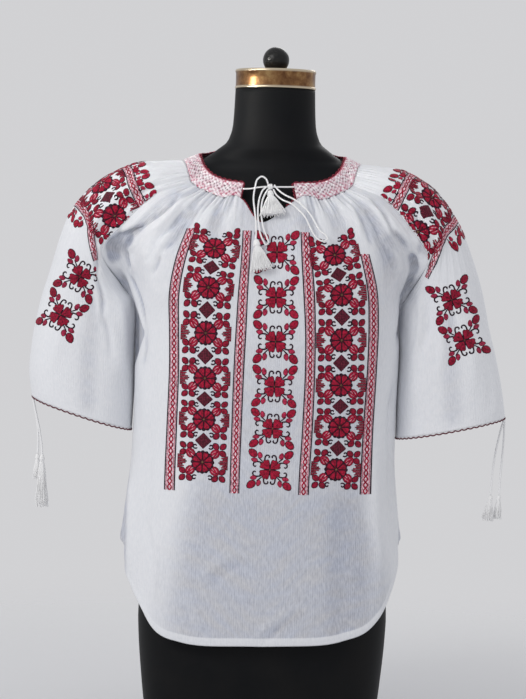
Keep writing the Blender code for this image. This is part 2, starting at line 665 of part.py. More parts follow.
# ------------------------------------------------------------------ laces, ties and tassels
def cord(name, route, diameter):
    """Tube along a smooth curve through its route's points."""
    route = np.array(route, float)
    reach = np.concatenate(([0], np.cumsum(np.linalg.norm(np.diff(route, axis=0), axis=1))))
    count = max(6, round(reach[-1] / (CORD_STEP * diameter)))
    line = smooth(reach, route, np.linspace(0, reach[-1], count))
    data = bpy.data.curves.new(name, "CURVE")
    data.dimensions = "3D"
    data.bevel_depth = diameter / 2 * MM
    data.bevel_resolution = 2
    data.use_fill_caps = True
    spline = data.splines.new("POLY")
    spline.points.add(count - 1)
    for point, place_at in zip(spline.points, line):
        point.co = (*(place_at * MM), 1)
    return place(name, data, "white_cord")


def knot():
    mesh = bmesh.new()
    bmesh.ops.create_uvsphere(mesh, u_segments=12, v_segments=8, radius=MM)
    shape = Matrix.Translation(Vector(KNOT_CENTRE) * MM) @ Matrix.Diagonal((*KNOT_HALF, 1))
    bmesh.ops.transform(mesh, matrix=shape, verts=mesh.verts)
    mesh_object("bow_knot", mesh, "white_cord")


def tassel(name, top, radius, height, length, spread, columns, hang):
    """Head with its strands drawn out of the head's lower faces, turned to hang along `hang`."""
    mesh = bmesh.new()
    bmesh.ops.create_uvsphere(mesh, u_segments=columns, v_segments=6, radius=1)
    lower = [face for face in mesh.faces if face.calc_center_median().z < -0.6]
    bmesh.ops.inset_individual(mesh, faces=lower, thickness=0.06)
    head = Matrix.Diagonal((radius, radius, height / 2, 1))
    bmesh.ops.transform(mesh, matrix=Matrix.Translation((0, 0, -height / 2)) @ head, verts=mesh.verts)
    for strand in bmesh.ops.extrude_discrete_faces(mesh, faces=lower)["faces"]:
        root = strand.calc_center_median()
        reach = length * (0.94 + 0.06 * math.sin(7 * math.atan2(root.y, root.x)))
        tip = Vector((root.x / radius * spread[0], root.y / radius * spread[1], -height - reach))
        for vert in strand.verts:
            vert.co += tip - root
    turn = Vector((0, 0, -1)).rotation_difference(Vector(hang)).to_matrix().to_4x4()
    bmesh.ops.transform(mesh, matrix=Matrix.Scale(MM, 4) @ Matrix.Translation(top) @ turn, verts=mesh.verts)
    mesh_object(name, mesh, "white_cord")


# ------------------------------------------------------------------ the part
for old in list(bpy.data.objects):
    bpy.data.objects.remove(old)
PARTS = bpy.data.collections.new("blouse_on_form")
bpy.context.scene.collection.children.link(PARTS)

form_torso()
form_fittings()
left = side_seams(-1)
right = side_seams(1)
cloth("front_panel", front_surface, front_heights, -1, (left["front"], right["front"]))
cloth("back_panel", back_surface, back_heights, 1, (left["back"], right["back"]))
cloth("sleeve_left", sleeve_surface(-1), sleeve_heights(-1), 1, (left["sleeve_front"], left["sleeve_back"]),
      tube=True)
cloth("sleeve_right", sleeve_surface(1), sleeve_heights(1), -1, (right["sleeve_front"], right["sleeve_back"]),
      tube=True)
neckband()
knot()
for cord_name, cord_route in LACES.items():
    cord(cord_name, cord_route, LACE)
for cord_name, cord_route in TIES.items():
    cord(cord_name, cord_route, TIE)
for tassel_name, sizes in TASSELS.items():
    tassel(tassel_name, *sizes)
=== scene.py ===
"""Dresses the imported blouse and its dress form: finishes, embroidery, smocking, cords and light."""
import json
import math

import bpy
import numpy as np
from mathutils import Matrix, Vector
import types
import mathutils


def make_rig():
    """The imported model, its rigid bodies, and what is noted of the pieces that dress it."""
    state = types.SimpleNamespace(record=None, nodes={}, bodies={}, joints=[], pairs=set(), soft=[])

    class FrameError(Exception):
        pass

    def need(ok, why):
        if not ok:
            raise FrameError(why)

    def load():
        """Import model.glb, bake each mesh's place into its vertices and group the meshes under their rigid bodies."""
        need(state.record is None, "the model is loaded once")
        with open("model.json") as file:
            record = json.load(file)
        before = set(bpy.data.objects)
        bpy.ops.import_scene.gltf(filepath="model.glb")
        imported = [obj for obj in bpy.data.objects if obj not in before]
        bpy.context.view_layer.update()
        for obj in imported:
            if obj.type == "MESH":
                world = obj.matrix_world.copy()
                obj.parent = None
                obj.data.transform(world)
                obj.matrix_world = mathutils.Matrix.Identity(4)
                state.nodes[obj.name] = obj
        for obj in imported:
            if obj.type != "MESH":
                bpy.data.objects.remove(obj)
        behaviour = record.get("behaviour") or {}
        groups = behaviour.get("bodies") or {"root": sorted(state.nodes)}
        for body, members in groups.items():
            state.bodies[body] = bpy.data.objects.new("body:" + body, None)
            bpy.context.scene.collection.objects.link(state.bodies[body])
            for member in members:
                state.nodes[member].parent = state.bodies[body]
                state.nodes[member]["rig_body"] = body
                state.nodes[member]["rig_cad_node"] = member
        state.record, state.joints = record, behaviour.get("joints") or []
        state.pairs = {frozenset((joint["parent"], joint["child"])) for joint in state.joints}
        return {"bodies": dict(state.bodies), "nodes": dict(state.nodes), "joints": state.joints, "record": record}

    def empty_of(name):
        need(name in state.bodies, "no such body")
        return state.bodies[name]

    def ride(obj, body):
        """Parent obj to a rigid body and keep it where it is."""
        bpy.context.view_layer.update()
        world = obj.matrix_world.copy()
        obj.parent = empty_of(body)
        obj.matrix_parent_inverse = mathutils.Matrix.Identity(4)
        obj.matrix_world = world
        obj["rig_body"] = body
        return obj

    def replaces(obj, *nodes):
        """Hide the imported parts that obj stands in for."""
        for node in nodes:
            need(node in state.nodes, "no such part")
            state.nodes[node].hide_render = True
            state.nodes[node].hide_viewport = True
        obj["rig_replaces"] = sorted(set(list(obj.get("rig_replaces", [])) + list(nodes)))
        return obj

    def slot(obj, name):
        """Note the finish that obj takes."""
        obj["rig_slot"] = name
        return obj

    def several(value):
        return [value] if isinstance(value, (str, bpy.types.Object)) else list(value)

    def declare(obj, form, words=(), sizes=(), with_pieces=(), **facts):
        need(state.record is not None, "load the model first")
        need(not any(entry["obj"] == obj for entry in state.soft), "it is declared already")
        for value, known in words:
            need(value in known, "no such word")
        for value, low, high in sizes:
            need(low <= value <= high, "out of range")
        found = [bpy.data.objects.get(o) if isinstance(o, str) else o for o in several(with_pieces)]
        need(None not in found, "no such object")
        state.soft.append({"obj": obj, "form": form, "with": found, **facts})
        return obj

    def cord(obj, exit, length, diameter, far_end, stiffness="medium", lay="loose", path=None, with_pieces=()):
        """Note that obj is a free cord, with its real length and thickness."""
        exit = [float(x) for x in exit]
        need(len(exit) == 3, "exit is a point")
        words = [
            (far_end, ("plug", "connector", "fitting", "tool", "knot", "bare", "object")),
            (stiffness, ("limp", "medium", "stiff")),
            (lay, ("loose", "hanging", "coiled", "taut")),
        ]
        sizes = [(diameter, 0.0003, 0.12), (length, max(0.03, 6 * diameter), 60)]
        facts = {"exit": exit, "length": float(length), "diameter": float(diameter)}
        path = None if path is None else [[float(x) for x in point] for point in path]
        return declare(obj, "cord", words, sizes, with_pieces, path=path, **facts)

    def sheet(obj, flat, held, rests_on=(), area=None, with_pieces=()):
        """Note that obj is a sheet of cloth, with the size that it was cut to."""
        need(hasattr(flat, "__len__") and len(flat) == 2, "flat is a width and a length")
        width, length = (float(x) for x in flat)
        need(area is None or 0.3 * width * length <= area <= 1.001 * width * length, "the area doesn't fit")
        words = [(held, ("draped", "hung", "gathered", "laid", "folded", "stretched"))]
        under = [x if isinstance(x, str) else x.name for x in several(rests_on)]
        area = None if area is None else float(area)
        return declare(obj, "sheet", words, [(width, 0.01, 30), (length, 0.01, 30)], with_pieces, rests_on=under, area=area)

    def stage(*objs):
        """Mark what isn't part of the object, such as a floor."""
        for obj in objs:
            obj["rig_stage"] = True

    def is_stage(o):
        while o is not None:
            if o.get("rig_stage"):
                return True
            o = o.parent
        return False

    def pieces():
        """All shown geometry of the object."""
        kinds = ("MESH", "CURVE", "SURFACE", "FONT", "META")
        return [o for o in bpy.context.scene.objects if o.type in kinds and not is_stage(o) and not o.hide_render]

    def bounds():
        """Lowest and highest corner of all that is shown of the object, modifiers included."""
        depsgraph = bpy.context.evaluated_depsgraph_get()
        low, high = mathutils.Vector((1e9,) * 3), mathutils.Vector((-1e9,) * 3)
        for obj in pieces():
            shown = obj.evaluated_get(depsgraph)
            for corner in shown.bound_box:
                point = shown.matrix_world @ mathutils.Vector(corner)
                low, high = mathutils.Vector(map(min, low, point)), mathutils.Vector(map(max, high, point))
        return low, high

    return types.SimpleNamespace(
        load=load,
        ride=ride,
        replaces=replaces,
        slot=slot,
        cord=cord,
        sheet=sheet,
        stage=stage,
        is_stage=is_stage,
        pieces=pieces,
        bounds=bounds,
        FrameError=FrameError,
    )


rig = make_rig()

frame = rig.load()

cad_low, cad_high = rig.bounds()
bpy.ops.object.select_all(action="DESELECT")


# ---------------------------------------------------------------- camera, light and floor
# A plain studio: a pale floor that fades into a pale surround, a large soft light high on the
# viewer's left, a weaker one behind, a small one for the brass cap, and a long lens.
MM = 0.001
CAMERA_AT = (-0.0075, -3.195, 0.675)
CAMERA_DOWN = math.radians(3.14)
CAMERA_ROLL = math.radians(1.45)
LENS = 126.8
SURROUND = (0.640, 0.640, 0.655)
FLOOR_NEAR, FLOOR_FAR = 0.35, 1.5
# Lights: place, point aimed at, size, power, colour, spread in degrees.
LIGHTS = {
    "key_light": ((-2.0, -2.2, 2.3), (0, 0, 0.55), 1.3, 34, (1.0, 0.985, 0.96), 180),
    "side_light": ((-1.29, -0.52, 0.95), (0, 0, 0.86), 0.34, 0.15, (1.0, 0.98, 0.90), 11),
    "back_light": ((0.6, 2.6, 2.2), (0, 0, 0.5), 1.6, 20, (1.0, 1.0, 1.0), 180),
}


def add_object(name, data):
    item = bpy.data.objects.new(name, data)
    bpy.context.scene.collection.objects.link(item)
    return item


def shader_of(made):
    return made.node_tree.nodes["Principled BSDF"]


def new_material(name, colour, roughness, specular=0.5, metallic=0.0):
    """Principled material with its plain values set on the shader itself."""
    made = bpy.data.materials.new(name)
    made.use_nodes = True
    for label, value in (("Base Color", (*colour, 1)), ("Roughness", roughness),
                         ("Specular IOR Level", specular), ("Metallic", metallic)):
        shader_of(made).inputs[label].default_value = value
    return made


def add_node(tree, kind, **values):
    """New node; a value's name is the socket's name with its spaces as underscores."""
    node = tree.nodes.new(kind)
    for label, value in values.items():
        socket = node.inputs.get(label.replace("_", " "))
        if socket is not None:
            socket.default_value = value
        else:
            setattr(node, label, value)
    return node


def wire(socket, node, slot):
    node.id_data.links.new(socket, node.inputs[slot])


def feed(made, slot, socket):
    """Wires a socket to the material's shader."""
    wire(socket, shader_of(made), slot)


def ranged(value, **values):
    """A value read over another range."""
    node = add_node(value.id_data, "ShaderNodeMapRange", **values)
    wire(value, node, "Value")
    return node.outputs["Result"]


camera_data = bpy.data.cameras.new("camera")
camera_data.sensor_fit = "VERTICAL"
camera_data.sensor_height = 36.0
camera_data.lens = LENS
camera = add_object("camera", camera_data)
tilt = Matrix.Rotation(math.pi / 2 - CAMERA_DOWN, 4, "X")
camera.matrix_world = Matrix.Translation(CAMERA_AT) @ tilt @ Matrix.Rotation(CAMERA_ROLL, 4, "Z")
bpy.context.scene.camera = camera
bpy.context.scene.view_settings.view_transform = "Standard"

surround = bpy.data.worlds.new("surround")
bpy.context.scene.world = surround
surround.use_nodes = True
surround.node_tree.nodes["Background"].inputs["Color"].default_value = (*SURROUND, 1)

for name, (place, aim, size, power, colour, spread) in LIGHTS.items():
    lamp = bpy.data.lights.new(name, "AREA")
    lamp.shape = "DISK"
    lamp.size = size
    lamp.energy = power
    lamp.spread = math.radians(spread)
    lamp.color = colour
    facing = (Vector(aim) - Vector(place)).to_track_quat("-Z", "Y")
    add_object(name, lamp).matrix_world = Matrix.Translation(place) @ facing.to_matrix().to_4x4()

bpy.ops.mesh.primitive_circle_add(vertices=96, radius=FLOOR_FAR, fill_type="NGON")
floor = bpy.context.object
floor.name = "floor"
floor_paint = new_material("floor_paint", (0.655, 0.66, 0.675), 0.9)
floor_reach = add_node(floor_paint.node_tree, "ShaderNodeVectorMath", operation="LENGTH")
wire(add_node(floor_paint.node_tree, "ShaderNodeTexCoord").outputs["Object"], floor_reach, 0)
feed(floor_paint, "Alpha", ranged(floor_reach.outputs["Value"], interpolation_type="SMOOTHSTEP",
                                  From_Min=FLOOR_NEAR, From_Max=FLOOR_FAR, To_Min=1.0, To_Max=0.0))
floor.data.materials.append(floor_paint)
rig.stage(floor)


# ---------------------------------------------------------------- dress form
# A limbless display torso: a moulded shell in satin black plastic, neck to hips, smooth all over.
# It is drawn as rings of a flattened oval whose width, depth and squareness change with height.
# Height, half width, front depth, back depth, exponent of the section.
FORM = (
    (12.3, 149, 92, 95, 2.3),
    (50, 154, 95, 98, 2.3),
    (110, 160, 99, 104, 2.3),
    (160, 162.5, 100, 108, 2.3),
    (205, 157, 99, 108, 2.3),
    (255, 143, 92, 101, 2.3),
    (300, 128, 84, 88, 2.3),
    (345, 120, 79, 75, 2.3),
    (400, 123, 82, 70, 2.3),
    (500, 140, 98, 78, 2.3),
    (575, 152, 114, 88, 2.3),
    (640, 166, 103, 92, 2.2),
    (670, 175, 90, 90, 2.0),
    (694, 180, 76, 86, 1.65),
    (704, 181, 72, 83, 1.45),
    (714, 178, 67, 80, 1.3),
    (722, 167, 61, 77, 1.3),
    (728, 150, 56, 74, 1.4),
    (733, 132, 53.5, 71, 1.5),
    (738, 111, 52.5, 68, 1.65),
    (744, 92, 50, 64, 1.8),
    (751, 81, 51, 60, 1.95),
    (758, 72, 53, 59, 2.0),
    (767, 60, 53, 57, 2.0),
    (784, 54, 52.5, 54.5, 2.0),
    (805, 52.5, 51.5, 52.5, 2.0),
    (836.2, 51.5, 51.2, 51.5, 2.0),
)
FORM_COLUMNS = 160
FORM_RINGS = 150


def texture(made, kind="ShaderNodeTexNoise", cut=False, stretch=None, **values):
    """A texture's value over the piece's own coordinates, or over its cut; `stretch` scales them."""
    tree = made.node_tree
    source, output = ("ShaderNodeUVMap", "UV") if cut else ("ShaderNodeTexCoord", "Object")
    place = add_node(tree, source).outputs[output]
    if stretch:
        mapping = add_node(tree, "ShaderNodeMapping", Scale=stretch)
        wire(place, mapping, "Vector")
        place = mapping.outputs["Vector"]
    node = add_node(tree, kind, **values)
    wire(place, node, "Vector")
    return node.outputs["Fac"]


def two_tone(value, low, high, low_colour, high_colour):
    """Colour that runs from one to another over a range of a value."""
    node = add_node(value.id_data, "ShaderNodeValToRGB")
    for index, (position, colour) in enumerate(((low, low_colour), (high, high_colour))):
        node.color_ramp.elements[index].position = position
        node.color_ramp.elements[index].color = (*colour, 1)
    wire(value, node, "Fac")
    return node.outputs["Color"]


def painted(made, name, output="Fac"):
    """What the mesh carries under this name at its points or corners."""
    return add_node(made.node_tree, "ShaderNodeAttribute", attribute_name=name).outputs[output]


def add_bump(made, value, strength, distance):
    """Relief from a texture's value; further reliefs chain onto the first."""
    normal = shader_of(made).inputs["Normal"]
    bump = add_node(made.node_tree, "ShaderNodeBump", Strength=strength, Distance=distance)
    wire(value, bump, "Height")
    if normal.links:
        wire(normal.links[0].from_socket, bump, "Normal")
    feed(made, "Normal", bump.outputs["Normal"])


def grained(made, scale, detail, dark, light, strength, distance):
    """Fine grain in colour and relief; the colour is handed back."""
    grain = texture(made, Scale=scale, Detail=detail)
    colour = two_tone(grain, 0.3, 0.7, dark, light)
    feed(made, "Base Color", colour)
    add_bump(made, grain, strength, distance)
    return colour


def finish_piece(item, name, material, slot, *replaced):
    """Names a finished mesh, gives it its material, and ties it to the frame."""
    item.name = name
    item.data.name = name
    item.data.materials.clear()
    item.data.materials.append(material)
    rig.ride(item, "root")
    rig.slot(item, slot)
    if replaced:
        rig.replaces(item, *replaced)


def apply_all(item):
    bpy.context.view_layer.objects.active = item
    for modifier in list(item.modifiers):
        bpy.ops.object.modifier_apply(modifier=modifier.name)


def cubic(first, last, leaving, arriving, step, s):
    """Curve between two points with their slopes, at shares `s` of the step between them."""
    start = first * (1 + 2 * s) * (1 - s) ** 2 + leaving * step * s * (1 - s) ** 2
    return start + (last * s * s * (3 - 2 * s) + arriving * step * s * s * (s - 1))


def smooth(keys, values, at):
    """Cubic curve through (keys, values), read at each number in `at`."""
    keys = np.asarray(keys, float)
    values = np.asarray(values, float)
    slopes = np.gradient(values, keys, axis=0)
    left = np.clip(np.searchsorted(keys, at, side="right") - 1, 0, len(keys) - 2)
    step = keys[left + 1] - keys[left]
    s = (at - keys[left]) / step
    s = s.reshape(s.shape + (1,) * (values.ndim - 1))
    return cubic(values[left], values[left + 1], slopes[left], slopes[left + 1],
                 step.reshape(s.shape), s)


form_rows = np.array(FORM)
form_parts = np.arange(len(FORM))
form_table = np.stack([np.interp(np.linspace(0, len(FORM) - 1, FORM_RINGS), form_parts, column)
                       for column in form_rows.T], axis=1)
for _ in range(3):
    form_table[1:-1] = (form_table[:-2] + 2 * form_table[1:-1] + form_table[2:]) / 4

bpy.ops.mesh.primitive_cylinder_add(vertices=FORM_COLUMNS, radius=1, depth=2, end_fill_type="NGON")
torso = bpy.context.object
bpy.ops.object.mode_set(mode="EDIT")
bpy.ops.mesh.select_mode(type="EDGE")
bpy.ops.mesh.select_all(action="DESELECT")
bpy.ops.object.mode_set(mode="OBJECT")
for edge in torso.data.edges:
    low, high = (torso.data.vertices[i].co for i in edge.vertices)
    edge.select = abs(low.z - high.z) > 1
bpy.ops.object.mode_set(mode="EDIT")
bpy.ops.mesh.subdivide(number_cuts=FORM_RINGS - 2)
bpy.ops.mesh.select_mode(type="VERT")
bpy.ops.object.mode_set(mode="OBJECT")
for vert in torso.data.vertices:
    ring = round((vert.co.z + 1) / 2 * (FORM_RINGS - 1))
    z, half, front, back, power = form_table[ring]
    depth = front if vert.co.y < 0 else back
    vert.co.x = half * math.copysign(abs(vert.co.x) ** (2 / power), vert.co.x) * MM
    vert.co.y = depth * math.copysign(abs(vert.co.y) ** (2 / power), vert.co.y) * MM
    vert.co.z = z * MM
bpy.ops.object.shade_smooth()

form_black = new_material("form_black", (0.0065, 0.0068, 0.0078), 0.5, specular=0.10)
handled = texture(form_black, Scale=14.0, Detail=6.0)
feed(form_black, "Base Color",
     two_tone(handled, 0.35, 0.75, (0.0055, 0.0062, 0.0075), (0.0105, 0.0102, 0.0105)))
feed(form_black, "Roughness", ranged(handled, To_Min=0.46, To_Max=0.62))
add_bump(form_black, texture(form_black, Scale=900.0, Detail=2.0), 0.15, 0.0002)
finish_piece(torso, "form_shell", form_black, "form_black", "form_torso")


# ---------------------------------------------------------------- neck cap, knob and base plate
# A spun brass cap closes the form's neck, lacquered once and now browned by handling, with a painted
# highlight on its two rolled rims.  A black ball screws into it, and the form stands on a plain oval plate.
CAP_PROFILE = ((0, 857.6), (30, 857.8), (46.8, 857.8), (47.8, 858.4), (48.6, 860.2), (49.8, 861.2),
               (51.0, 861.2), (52.0, 860.2), (52.3, 858.9), (52.0, 857.4), (51.4, 856.6), (51.3, 848.0),
               (51.4, 839.8), (52.1, 839.2), (52.4, 838.2), (52.3, 837.0), (51.6, 836.6), (0, 836.6))
CAP_MIDDLE = 0.8489   # height in metres, from which the rims' painted highlight is measured
RIM_STARTS, RIM_ENDS = 0.0084, 0.0104
KNOB_BASE = 858.3
KNOB_FOOT = 9.5
KNOB_CENTRE = 874.2
KNOB_RADIUS = 17.0
KNOB_SUNK = 3.5       # how far the ball's foot reaches up into it
BASE_HALF = (128.0, 92.0)
BASE_THICK = 12.0
BASE_EDGE = 2.5


def only(item):
    """Selects one object alone and makes it active."""
    bpy.ops.object.select_all(action="DESELECT")
    item.select_set(True)
    bpy.context.view_layer.objects.active = item


def turned(profile, steps):
    """Turned piece: its outer profile spun once about the upright axis."""
    data = bpy.data.meshes.new("profile")
    corners = [(r * MM, 0, z * MM) for r, z in profile]
    data.from_pydata(corners, [(i, i + 1) for i in range(len(profile) - 1)], [])
    item = add_object("profile", data)
    screw = item.modifiers.new("turn", "SCREW")
    screw.steps = steps
    screw.render_steps = steps
    screw.use_merge_vertices = True
    screw.merge_threshold = 0.00001
    only(item)
    apply_all(item)
    bpy.ops.object.mode_set(mode="EDIT")
    bpy.ops.mesh.select_all(action="SELECT")
    bpy.ops.mesh.normals_make_consistent(inside=False)
    bpy.ops.object.mode_set(mode="OBJECT")
    bpy.ops.object.shade_smooth_by_angle(angle=math.radians(40))
    return item


def mixed(share, under, over, blend="MIX"):
    """Colour mixed from a socket and a second socket or plain colour."""
    node = add_node(under.id_data, "ShaderNodeMix", data_type="RGBA", blend_type=blend)
    for slot, value in ((0, share), (6, under), (7, over)):
        if isinstance(value, bpy.types.NodeSocket):
            wire(value, node, slot)
        else:
            node.inputs[slot].default_value = value
    return node.outputs[2]


def calculated(operation, first, second=None, third=None):
    """Result of a sum on values, each a socket or a plain number; the first is a socket."""
    node = add_node(first.id_data, "ShaderNodeMath", operation=operation)
    for slot, value in enumerate((first, second, third)):
        if isinstance(value, bpy.types.NodeSocket):
            wire(value, node, slot)
        elif value is not None:
            node.inputs[slot].default_value = value
    return node.outputs["Value"]


brass = new_material("brass", (0.40, 0.25, 0.10), 0.34, metallic=1.0)
tarnish = texture(brass, Scale=55.0, Detail=8.0, Roughness=0.65)
patina = two_tone(tarnish, 0.34, 0.68, (0.11, 0.048, 0.024), (0.44, 0.29, 0.13))
browned = patina.node.color_ramp.elements.new(0.5)
browned.color = (0.24, 0.125, 0.055, 1)
height = add_node(brass.node_tree, "ShaderNodeSeparateXYZ")
wire(add_node(brass.node_tree, "ShaderNodeTexCoord").outputs["Object"], height, "Vector")
off_middle = calculated("ABSOLUTE", calculated("SUBTRACT", height.outputs["Z"], CAP_MIDDLE))
# Painted highlight on the two rims: their colour is mixed towards pale brass.
rim_highlight = ranged(off_middle, From_Min=RIM_STARTS, From_Max=RIM_ENDS, To_Min=0.0, To_Max=0.85)
feed(brass, "Base Color", mixed(rim_highlight, patina, (0.66, 0.58, 0.44, 1)))
feed(brass, "Roughness", ranged(tarnish, To_Min=0.42, To_Max=0.20))
add_bump(brass, texture(brass, stretch=(60.0, 60.0, 900.0), Scale=1.0, Detail=3.0), 0.25, 0.0001)
finish_piece(turned(CAP_PROFILE, 96), "brass_cap", brass, "brass", "neck_cap")

knob_black = new_material("knob_black", (0.010, 0.010, 0.011), 0.33, specular=0.25)
grained(knob_black, 220.0, 4.0, (0.008, 0.008, 0.009), (0.014, 0.0135, 0.013), 0.2, 0.0002)
lowest = math.asin((KNOB_BASE + KNOB_SUNK - KNOB_CENTRE) / KNOB_RADIUS)
ball = [(KNOB_RADIUS * math.cos(angle), KNOB_CENTRE + KNOB_RADIUS * math.sin(angle))
        for angle in np.linspace(math.pi / 2, lowest, 28)]
ball[0] = (0, ball[0][1])
knob = turned(ball + [(KNOB_FOOT, KNOB_BASE), (0, KNOB_BASE)], 64)
finish_piece(knob, "ball_knob", knob_black, "knob_black", "neck_knob")

bpy.ops.mesh.primitive_cylinder_add(vertices=128, radius=1, depth=1, end_fill_type="NGON")
plate = bpy.context.object
plate.scale = (BASE_HALF[0] * MM, BASE_HALF[1] * MM, BASE_THICK * MM)
plate.location.z = BASE_THICK * MM / 2
bpy.ops.object.transform_apply(location=True, rotation=False, scale=True)
rounded = plate.modifiers.new("edge", "BEVEL")
rounded.width = BASE_EDGE * MM
rounded.segments = 4
rounded.limit_method = "ANGLE"
apply_all(plate)
bpy.ops.object.shade_smooth_by_angle(angle=math.radians(35))
base_black = new_material("base_black", (0.014, 0.014, 0.015), 0.45)
grained(base_black, 700.0, 3.0, (0.012, 0.012, 0.013), (0.019, 0.019, 0.020), 0.3, 0.0002)
finish_piece(plate, "oval_base", base_black, "base_black", "base_plate")


# ---------------------------------------------------------------- front panel
# Thin crinkled cotton, one full width gathered into the neckband and left to hang over the form,
# with a short slit at the neck, raglan seams at its sides and a rounded, folded hem.
# Sizes are in millimetres.  Guide lines run from the neck to the underarm, x outwards.
UNDERARM = 575
RIGHT_SCALE = (0.97, 0.965, 0.95, 0.925, 0.945)
YOKE = (0.0, 0.25, 0.5, 0.75, 1.0)
FRONT_CENTRE = ((-12, -104, 665), (-9, -111, 650), (-6, -119, 628), (-3, -126, 602), (0, -128, 575))
SLIT_SHARE = 0.16
RIGHT_CORNER = ((30, -90, 695), (34, -102, 674), (38, -114, 646), (40, -123, 612), (41, -126, 575))
FRONT_GUIDES = (
    (SLIT_SHARE, ((38, -89, 693), (40, -102, 672), (42, -114, 645), (43, -123, 612), (44, -126, 575))),
    (0.44, ((64, -79, 695), (76, -97, 676), (86, -108, 648), (92, -118, 613), (94, -120, 575))),
    (0.70, ((86, -66, 703), (106, -82, 686), (130, -92, 655), (150, -94, 616), (150, -86, 575))),
    (0.86, ((97, -58, 708), (125, -72, 694), (162, -76, 660), (187, -46, 622), (176, -32, 575))),
    (1.00, ((105, -50, 714), (143, -60, 700), (186, -64, 661), (216, -56, 622), (190, -9, 575))),
)
# Body below the underarm: height, half width left and right, depth of front and back.
BODY = (
    (590, 175, 168, 128, 106),
    (540, 173.5, 168.6, 128, 103),
    (500, 173.3, 168.4, 124, 100),
    (430, 172.6, 166.8, 118, 99),
    (390, 173.2, 166.4, 115, 101),
    (345, 176, 167, 113, 107),
    (300, 181, 172, 113, 114),
    (257, 187, 177, 114, 118),
    (225, 183, 179, 115, 120),
    (175, 182, 182, 116, 121),
    (128, 182, 183, 117, 121),
)
BODY_ROUND = 2.4
# Hem: angle from the centre line in degrees, height.
HEM = ((0, 131), (30, 135), (45, 148), (55, 171), (65, 198), (75, 226), (90, 257))
HEM_SKEW = 0.035
BODY_KEYS = (0.1, 0.25, 0.45, 0.65, 0.85, 1.0)
# Long soft folds: u, half width in u, depth (negative is a trough), v start, v end.
FRONT_FOLDS = (
    (-0.80, 0.055, 5.0, 1.55, 2.05),
    (-0.62, 0.070, -4.0, 1.35, 2.05),
    (-0.40, 0.060, 3.0, 1.60, 2.05),
    (0.34, 0.070, -3.4, 1.50, 2.05),
    (0.58, 0.060, 4.2, 1.40, 2.05),
    (0.80, 0.060, -4.2, 1.20, 1.90),
)
PLEATS = 15           # gathers across the front, and across the back
GATHER = 1.7          # depth of the gathers at the neck
SWELL = 2.3           # depth of the wider ones below them
# Creases over the front, seen from ahead: x and z of both ends, half width, depth.
FRONT_CREASES = (
    (-118, 698, -161, 660, 3.0, -5.1), (-161, 660, -200, 641, 3.6, -7.5), (-208, 641, -201, 606, 6.2, -10.5),
    (-178, 643, -189, 626, 2.6, -4.5), (-189, 627, -182, 598, 2.6, -4.5), (-172, 641, -181, 622, 3.6, 3.4),
    (-181, 623, -173, 596, 3.6, 3.1), (-185, 597, -158, 525, 3.0, -4.5), (-158, 528, -166, 463, 4.0, -3.0),
    (-114, 688, -157, 645, 4.0, 3.4), (-112, 675, -145, 640, 3.0, -3.9), (-145, 641, -157, 611, 3.0, -3.6),
    (-109, 660, -140, 625, 3.2, -3.9), (-140, 626, -152, 592, 3.2, -3.3), (-128, 655, -150, 618, 4.0, 2.9),
    (125, 697, 152, 658, 3.2, -4.8), (152, 659, 176, 630, 3.6, -6.3), (178, 630, 183, 600, 4.8, -11.0),
    (181, 602, 170, 572, 3.6, -8.0), (170, 574, 164, 515, 3.6, -5.5), (126, 690, 150, 650, 4.0, 3.4),
    (116, 689, 140, 642, 3.0, -3.9), (142, 642, 158, 602, 3.0, -3.6), (106, 681, 125, 639, 3.2, -3.6),
    (150, 640, 168, 606, 3.6, 3.1), (96, 690, 112, 650, 4.0, 2.6),
    (-141, 272, -139, 180, 2.6, 2.4), (-150, 276, -147, 196, 4.0, -2.0), (-128, 262, -126, 190, 4.5, -1.6),
    (-80, 214, -30, 252, 2.8, 2.4), (-70, 204, -20, 242, 4.0, -1.6), (-8, 142, 46, 182, 2.8, 2.4),
    (2, 134, 58, 176, 4.0, -1.6), (-96, 190, -84, 142, 5.0, 1.2), (108, 262, 128, 196, 6.0, -1.6),
    (132, 300, 146, 216, 5.0, 1.8), (-164, 480, -158, 380, 7.0, 1.6), (152, 460, 148, 350, 7.0, -1.6),
)
CLOTH = 0.9           # thickness of the cloth shell
CLOTH_OUT = 0.45      # how far its outer face lies outside the pattern surface
HEM_BAND = 11.0       # depth of the folded hem
SURFACE_STEP = 0.004  # step along a panel for its slopes and normals
BELOW_YOKE = 10       # rows below the yoke, where a panel's width is measured
FRONT_COLUMNS = 290
FRONT_YOKE_ROWS = 60
FRONT_BODY_ROWS = 68
FRONT_HEM_ROWS = 14


def ramp(low, high, at):
    """0 below `low`, 1 above `high`, eased between."""
    s = np.clip((at - low) / (high - low), 0, 1)
    return s * s * (3 - 2 * s)


def blend_rows(keys, rows, v):
    """Each column's point at its own v, on a curve through the key rows that never overshoots them."""
    rows = np.asarray(rows)
    keys = np.asarray(keys)
    secants = np.diff(rows, axis=0) / np.diff(keys)[:, None, None]
    before, after = secants[:-1], secants[1:]
    same_way = before * after > 0
    inner = np.where(same_way, 2 * before * after / np.where(same_way, before + after, 1), 0)
    slopes = np.concatenate((secants[:1], inner, secants[-1:]))
    left = np.clip(np.searchsorted(keys, v, side="right") - 1, 0, len(keys) - 2)
    step = (keys[left + 1] - keys[left])[:, None]
    column = np.arange(len(v))
    return cubic(rows[left, column], rows[left + 1, column], slopes[left, column],
                 slopes[left + 1, column], step, (v - keys[left])[:, None] / step)


